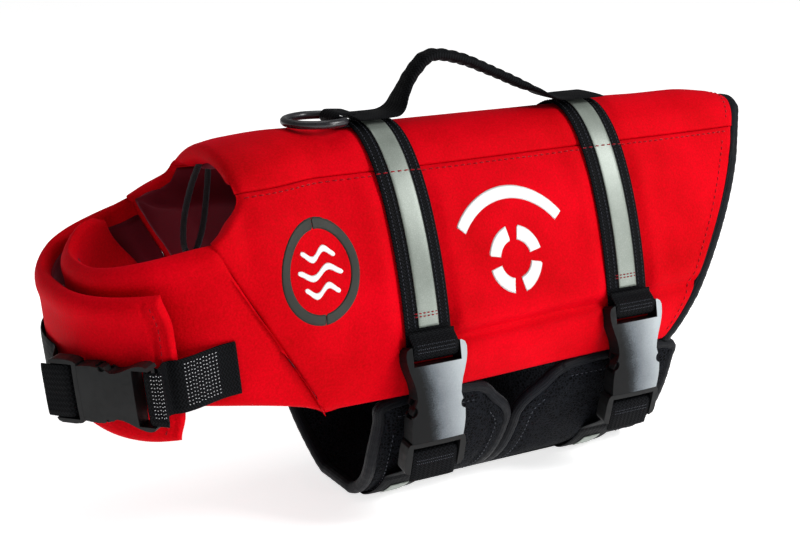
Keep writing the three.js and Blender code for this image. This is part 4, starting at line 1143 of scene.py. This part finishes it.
rows = [face_row(outer_flap, -1, 0 * t + 0.966, t), face_row(inner_flap, 1, 0 * t + 0.965, t),
        face_row(inner_flap, 1, 0 * t + 0.95, t)]
stitched("flap_stitches", rows, flap_tree, 2.2, 1.2, 0.28, THREAD_RED)
side_tree = tree_of("left_side_panel", "right_side_panel", "spine_panel")
rows = [face_row(side_face(s), s, 0 * t + 0.972, t) for s in (-1, 1)]
rows += [face_row(spine_face, 1, t, 0 * t + 0.978)]
stitched("rear_stitches", rows, side_tree, 2.4, 1.2, 0.28, THREAD_RED)
near_tree = tree_of("near_chest_webbing")
zone = []
for offset in np.linspace(-9.5, 9.5, 12):
    spot = np.array([plan(outer_end + d, up)
                     for d, up in ((4, 11), (0, 11.4), (-5, 9.0), (-10, 6.0), (-15, 3.4), (-20, 2.0))])
    spot = np.array([[np.interp(q, range(6), spot[:, c]) for c in (0, 1)] for q in np.linspace(0, 4.4, 16)])
    p = lean(spot[:, 0], spot[:, 1], CHEST_STRAP_Z + offset + 0.7 * (np.arange(16) % 2))
    zone.append((p, np.tile([outward[0], outward[1], 0], (16, 1))))
stitched("zone_stitches", zone, near_tree, 0.7, 1.0, 0.2, THREAD_WHITE, slot="webbing")


for end, region in regions.items():
    rows = [face_row(region(0, 0, BAND_TOP), 1, 0 * t + u, t) for u in (0.045, 0.955)]
    rows += [face_row(region(0, 0, BAND_TOP), 1, t, 0 * t + v) for v in (0.012, 0.988)]
    stitched(end + "_pad_stitches", rows, tree_of(end + "_pad"), 1.8, 1.2, 0.25, THREAD_BLACK, "belly_band", "binding")
for end, x in (("front", -STRAP_X), ("rear", STRAP_X)):
    line = x + np.linspace(-10.5, 10.5, 40)
    upper = (BODY["length"] - 3.2, BODY["length"] - 1.6, BODY["length"] + 0.2)
    lower = (-BODY["frame"] + 4.6, -BODY["frame"] + 6.2)
    for name, body, spots in ((end + "_strap", "jacket", upper), (end + "_lower_webbing", "belly_band", lower)):
        rows = []
        for l in spots:
            p = np.array([on_arc(RADII[end], l + 0.5 * (i % 2), 3.5) for i in range(40)])
            n = unit(on_arc(RADII[end], l, 4) - on_arc(RADII[end], l, 3))
            rows.append((stack(line, p[:, 0], p[:, 1]), stack(0 * line, n[0], n[1])))
        stitched(name + "_zigzag", rows, tree_of(name), 0.9, 0.6, 0.17, THREAD_BLACK, body, "webbing")


# ---- Printed marks on the near side: plain shapes of this script's own ----
mark_tree = tree_of("left_side_panel")


def mark(name, outline, material, steps=(40, 6), lift=0.12):
    """A thin printed shape. outline gives x and z in millimetres over the unit square."""
    U, V = np.meshgrid(np.linspace(0, 1, steps[0] + 1), np.linspace(0, 1, steps[1] + 1), indexing="ij")
    x, z = outline(U, V)
    flat = stack(x, -wall(x, z), z).reshape(-1, 3)
    spots, normals, _ = land(mark_tree, flat, np.tile([0.0, -1.0, 0.0], (len(flat), 1)))
    grid, n = spots.reshape(*U.shape, 3), normals.reshape(*U.shape, 3)
    outer, inner = grid + n * lift, grid - n * 0.1
    outer[[0, -1]], inner[[0, -1]] = grid[[0, -1]], grid[[0, -1]]
    outer[:, [0, -1]], inner[:, [0, -1]] = grid[:, [0, -1]], grid[:, [0, -1]]
    return settle(add_mesh(name, *slab(outer, inner), material), "jacket", "neoprene")


def ring_part(cx, cz, r0, r1, start, end, squash=1.0):
    def outline(u, v):
        a, r = np.radians(mix(start, end, u)), mix(r0, r1, v)
        return cx + r * np.sin(a) * squash, cz + r * np.cos(a)
    return outline


def wave(cx, cz, half, height, thick):
    def outline(u, v):
        x = mix(-half, half, u)
        taper = np.sqrt(np.clip(1 - (x / half) ** 8, 0.02, 1))
        return cx + x, cz + height * np.sin(x / half * math.pi * 1.5) + (v - 0.5) * thick * taper
    return outline


fx, fz = -114, 133
for k in range(2):
    outline = ring_part(fx, fz, 18.5, 23.5, 180 * k + 0.02, 180 * k + 179.98, 0.92)
    mark(f"badge_ring_{k + 1}", outline, PRINT_DARK, (60, 5))
for k, h in enumerate((-8, 0, 8)):
    mark(f"badge_wave_{k + 1}", wave(fx, fz + h, 13 - abs(h) * 0.35, 1.8, 3.0), PRINT_WHITE, (44, 4))
rx, rz = -6, 126
mark("stripe_arc", ring_part(rx, rz - 8, 34, 40, -52, 52), PRINT_WHITE, (60, 6))
for k in range(4):
    mark(f"buoy_part_{k + 1}", ring_part(rx, rz - 2, 9, 16, 90 * k + 12, 90 * k + 78), PRINT_WHITE, (24, 6))

# ---- Stage ----
def glow(finish, strength):
    finish.shader.inputs["Emission Color"].default_value = (1, 1, 1, 1)
    finish.shader.inputs["Emission Strength"].default_value = strength


bpy.context.scene.view_settings.view_transform = "Standard"
world = bpy.data.worlds.new("world")
bpy.context.scene.world = world
world.use_nodes = True
world.node_tree.nodes["Background"].inputs[0].default_value = (1, 1, 1, 1)
world.node_tree.nodes["Background"].inputs[1].default_value = 0.24
bpy.ops.mesh.primitive_plane_add(size=60, location=(0, 0, -0.0005))
floor = bpy.context.object
floor.name = "floor"
floor_material = Nodes("pale_floor", 0.7, 0.2)
floor_material.colour(floor_material.colours(
    floor_material.noise(3), (0.3, (0.9, 0.9, 0.9)), (0.7, (0.92, 0.92, 0.92))))
glow(floor_material, 0.74)
floor.data.materials.append(floor_material.material)
bpy.ops.mesh.primitive_cylinder_add(vertices=96, radius=28, depth=36, end_fill_type="NOTHING")
backdrop = bpy.context.object
backdrop.name = "backdrop"
# It is seen, but lights and shades nothing
backdrop.visible_diffuse = backdrop.visible_glossy = backdrop.visible_shadow = False
backdrop_material = Nodes("pale_backdrop", 1.0, 0.0)
glow(backdrop_material, 1.0)
backdrop.data.materials.append(backdrop_material.material)


def area_light(name, place, aim, energy, size):
    data = bpy.data.lights.new(name, "AREA")
    data.energy, data.size = energy, size
    made = linked(name, data)
    made.location = place
    made.rotation_euler = (Vector(place) - Vector(aim)).to_track_quat("Z", "Y").to_euler()


area_light("key", (0.85, -0.85, 0.95), (0, 0, 0.1), 15, 0.5)
area_light("side", (0.75, -1.15, 0.12), (0.02, -0.05, 0.07), 4.5, 0.4)
area_light("top", (0, 0.3, 1.6), (0, 0, 0.1), 5, 1.0)
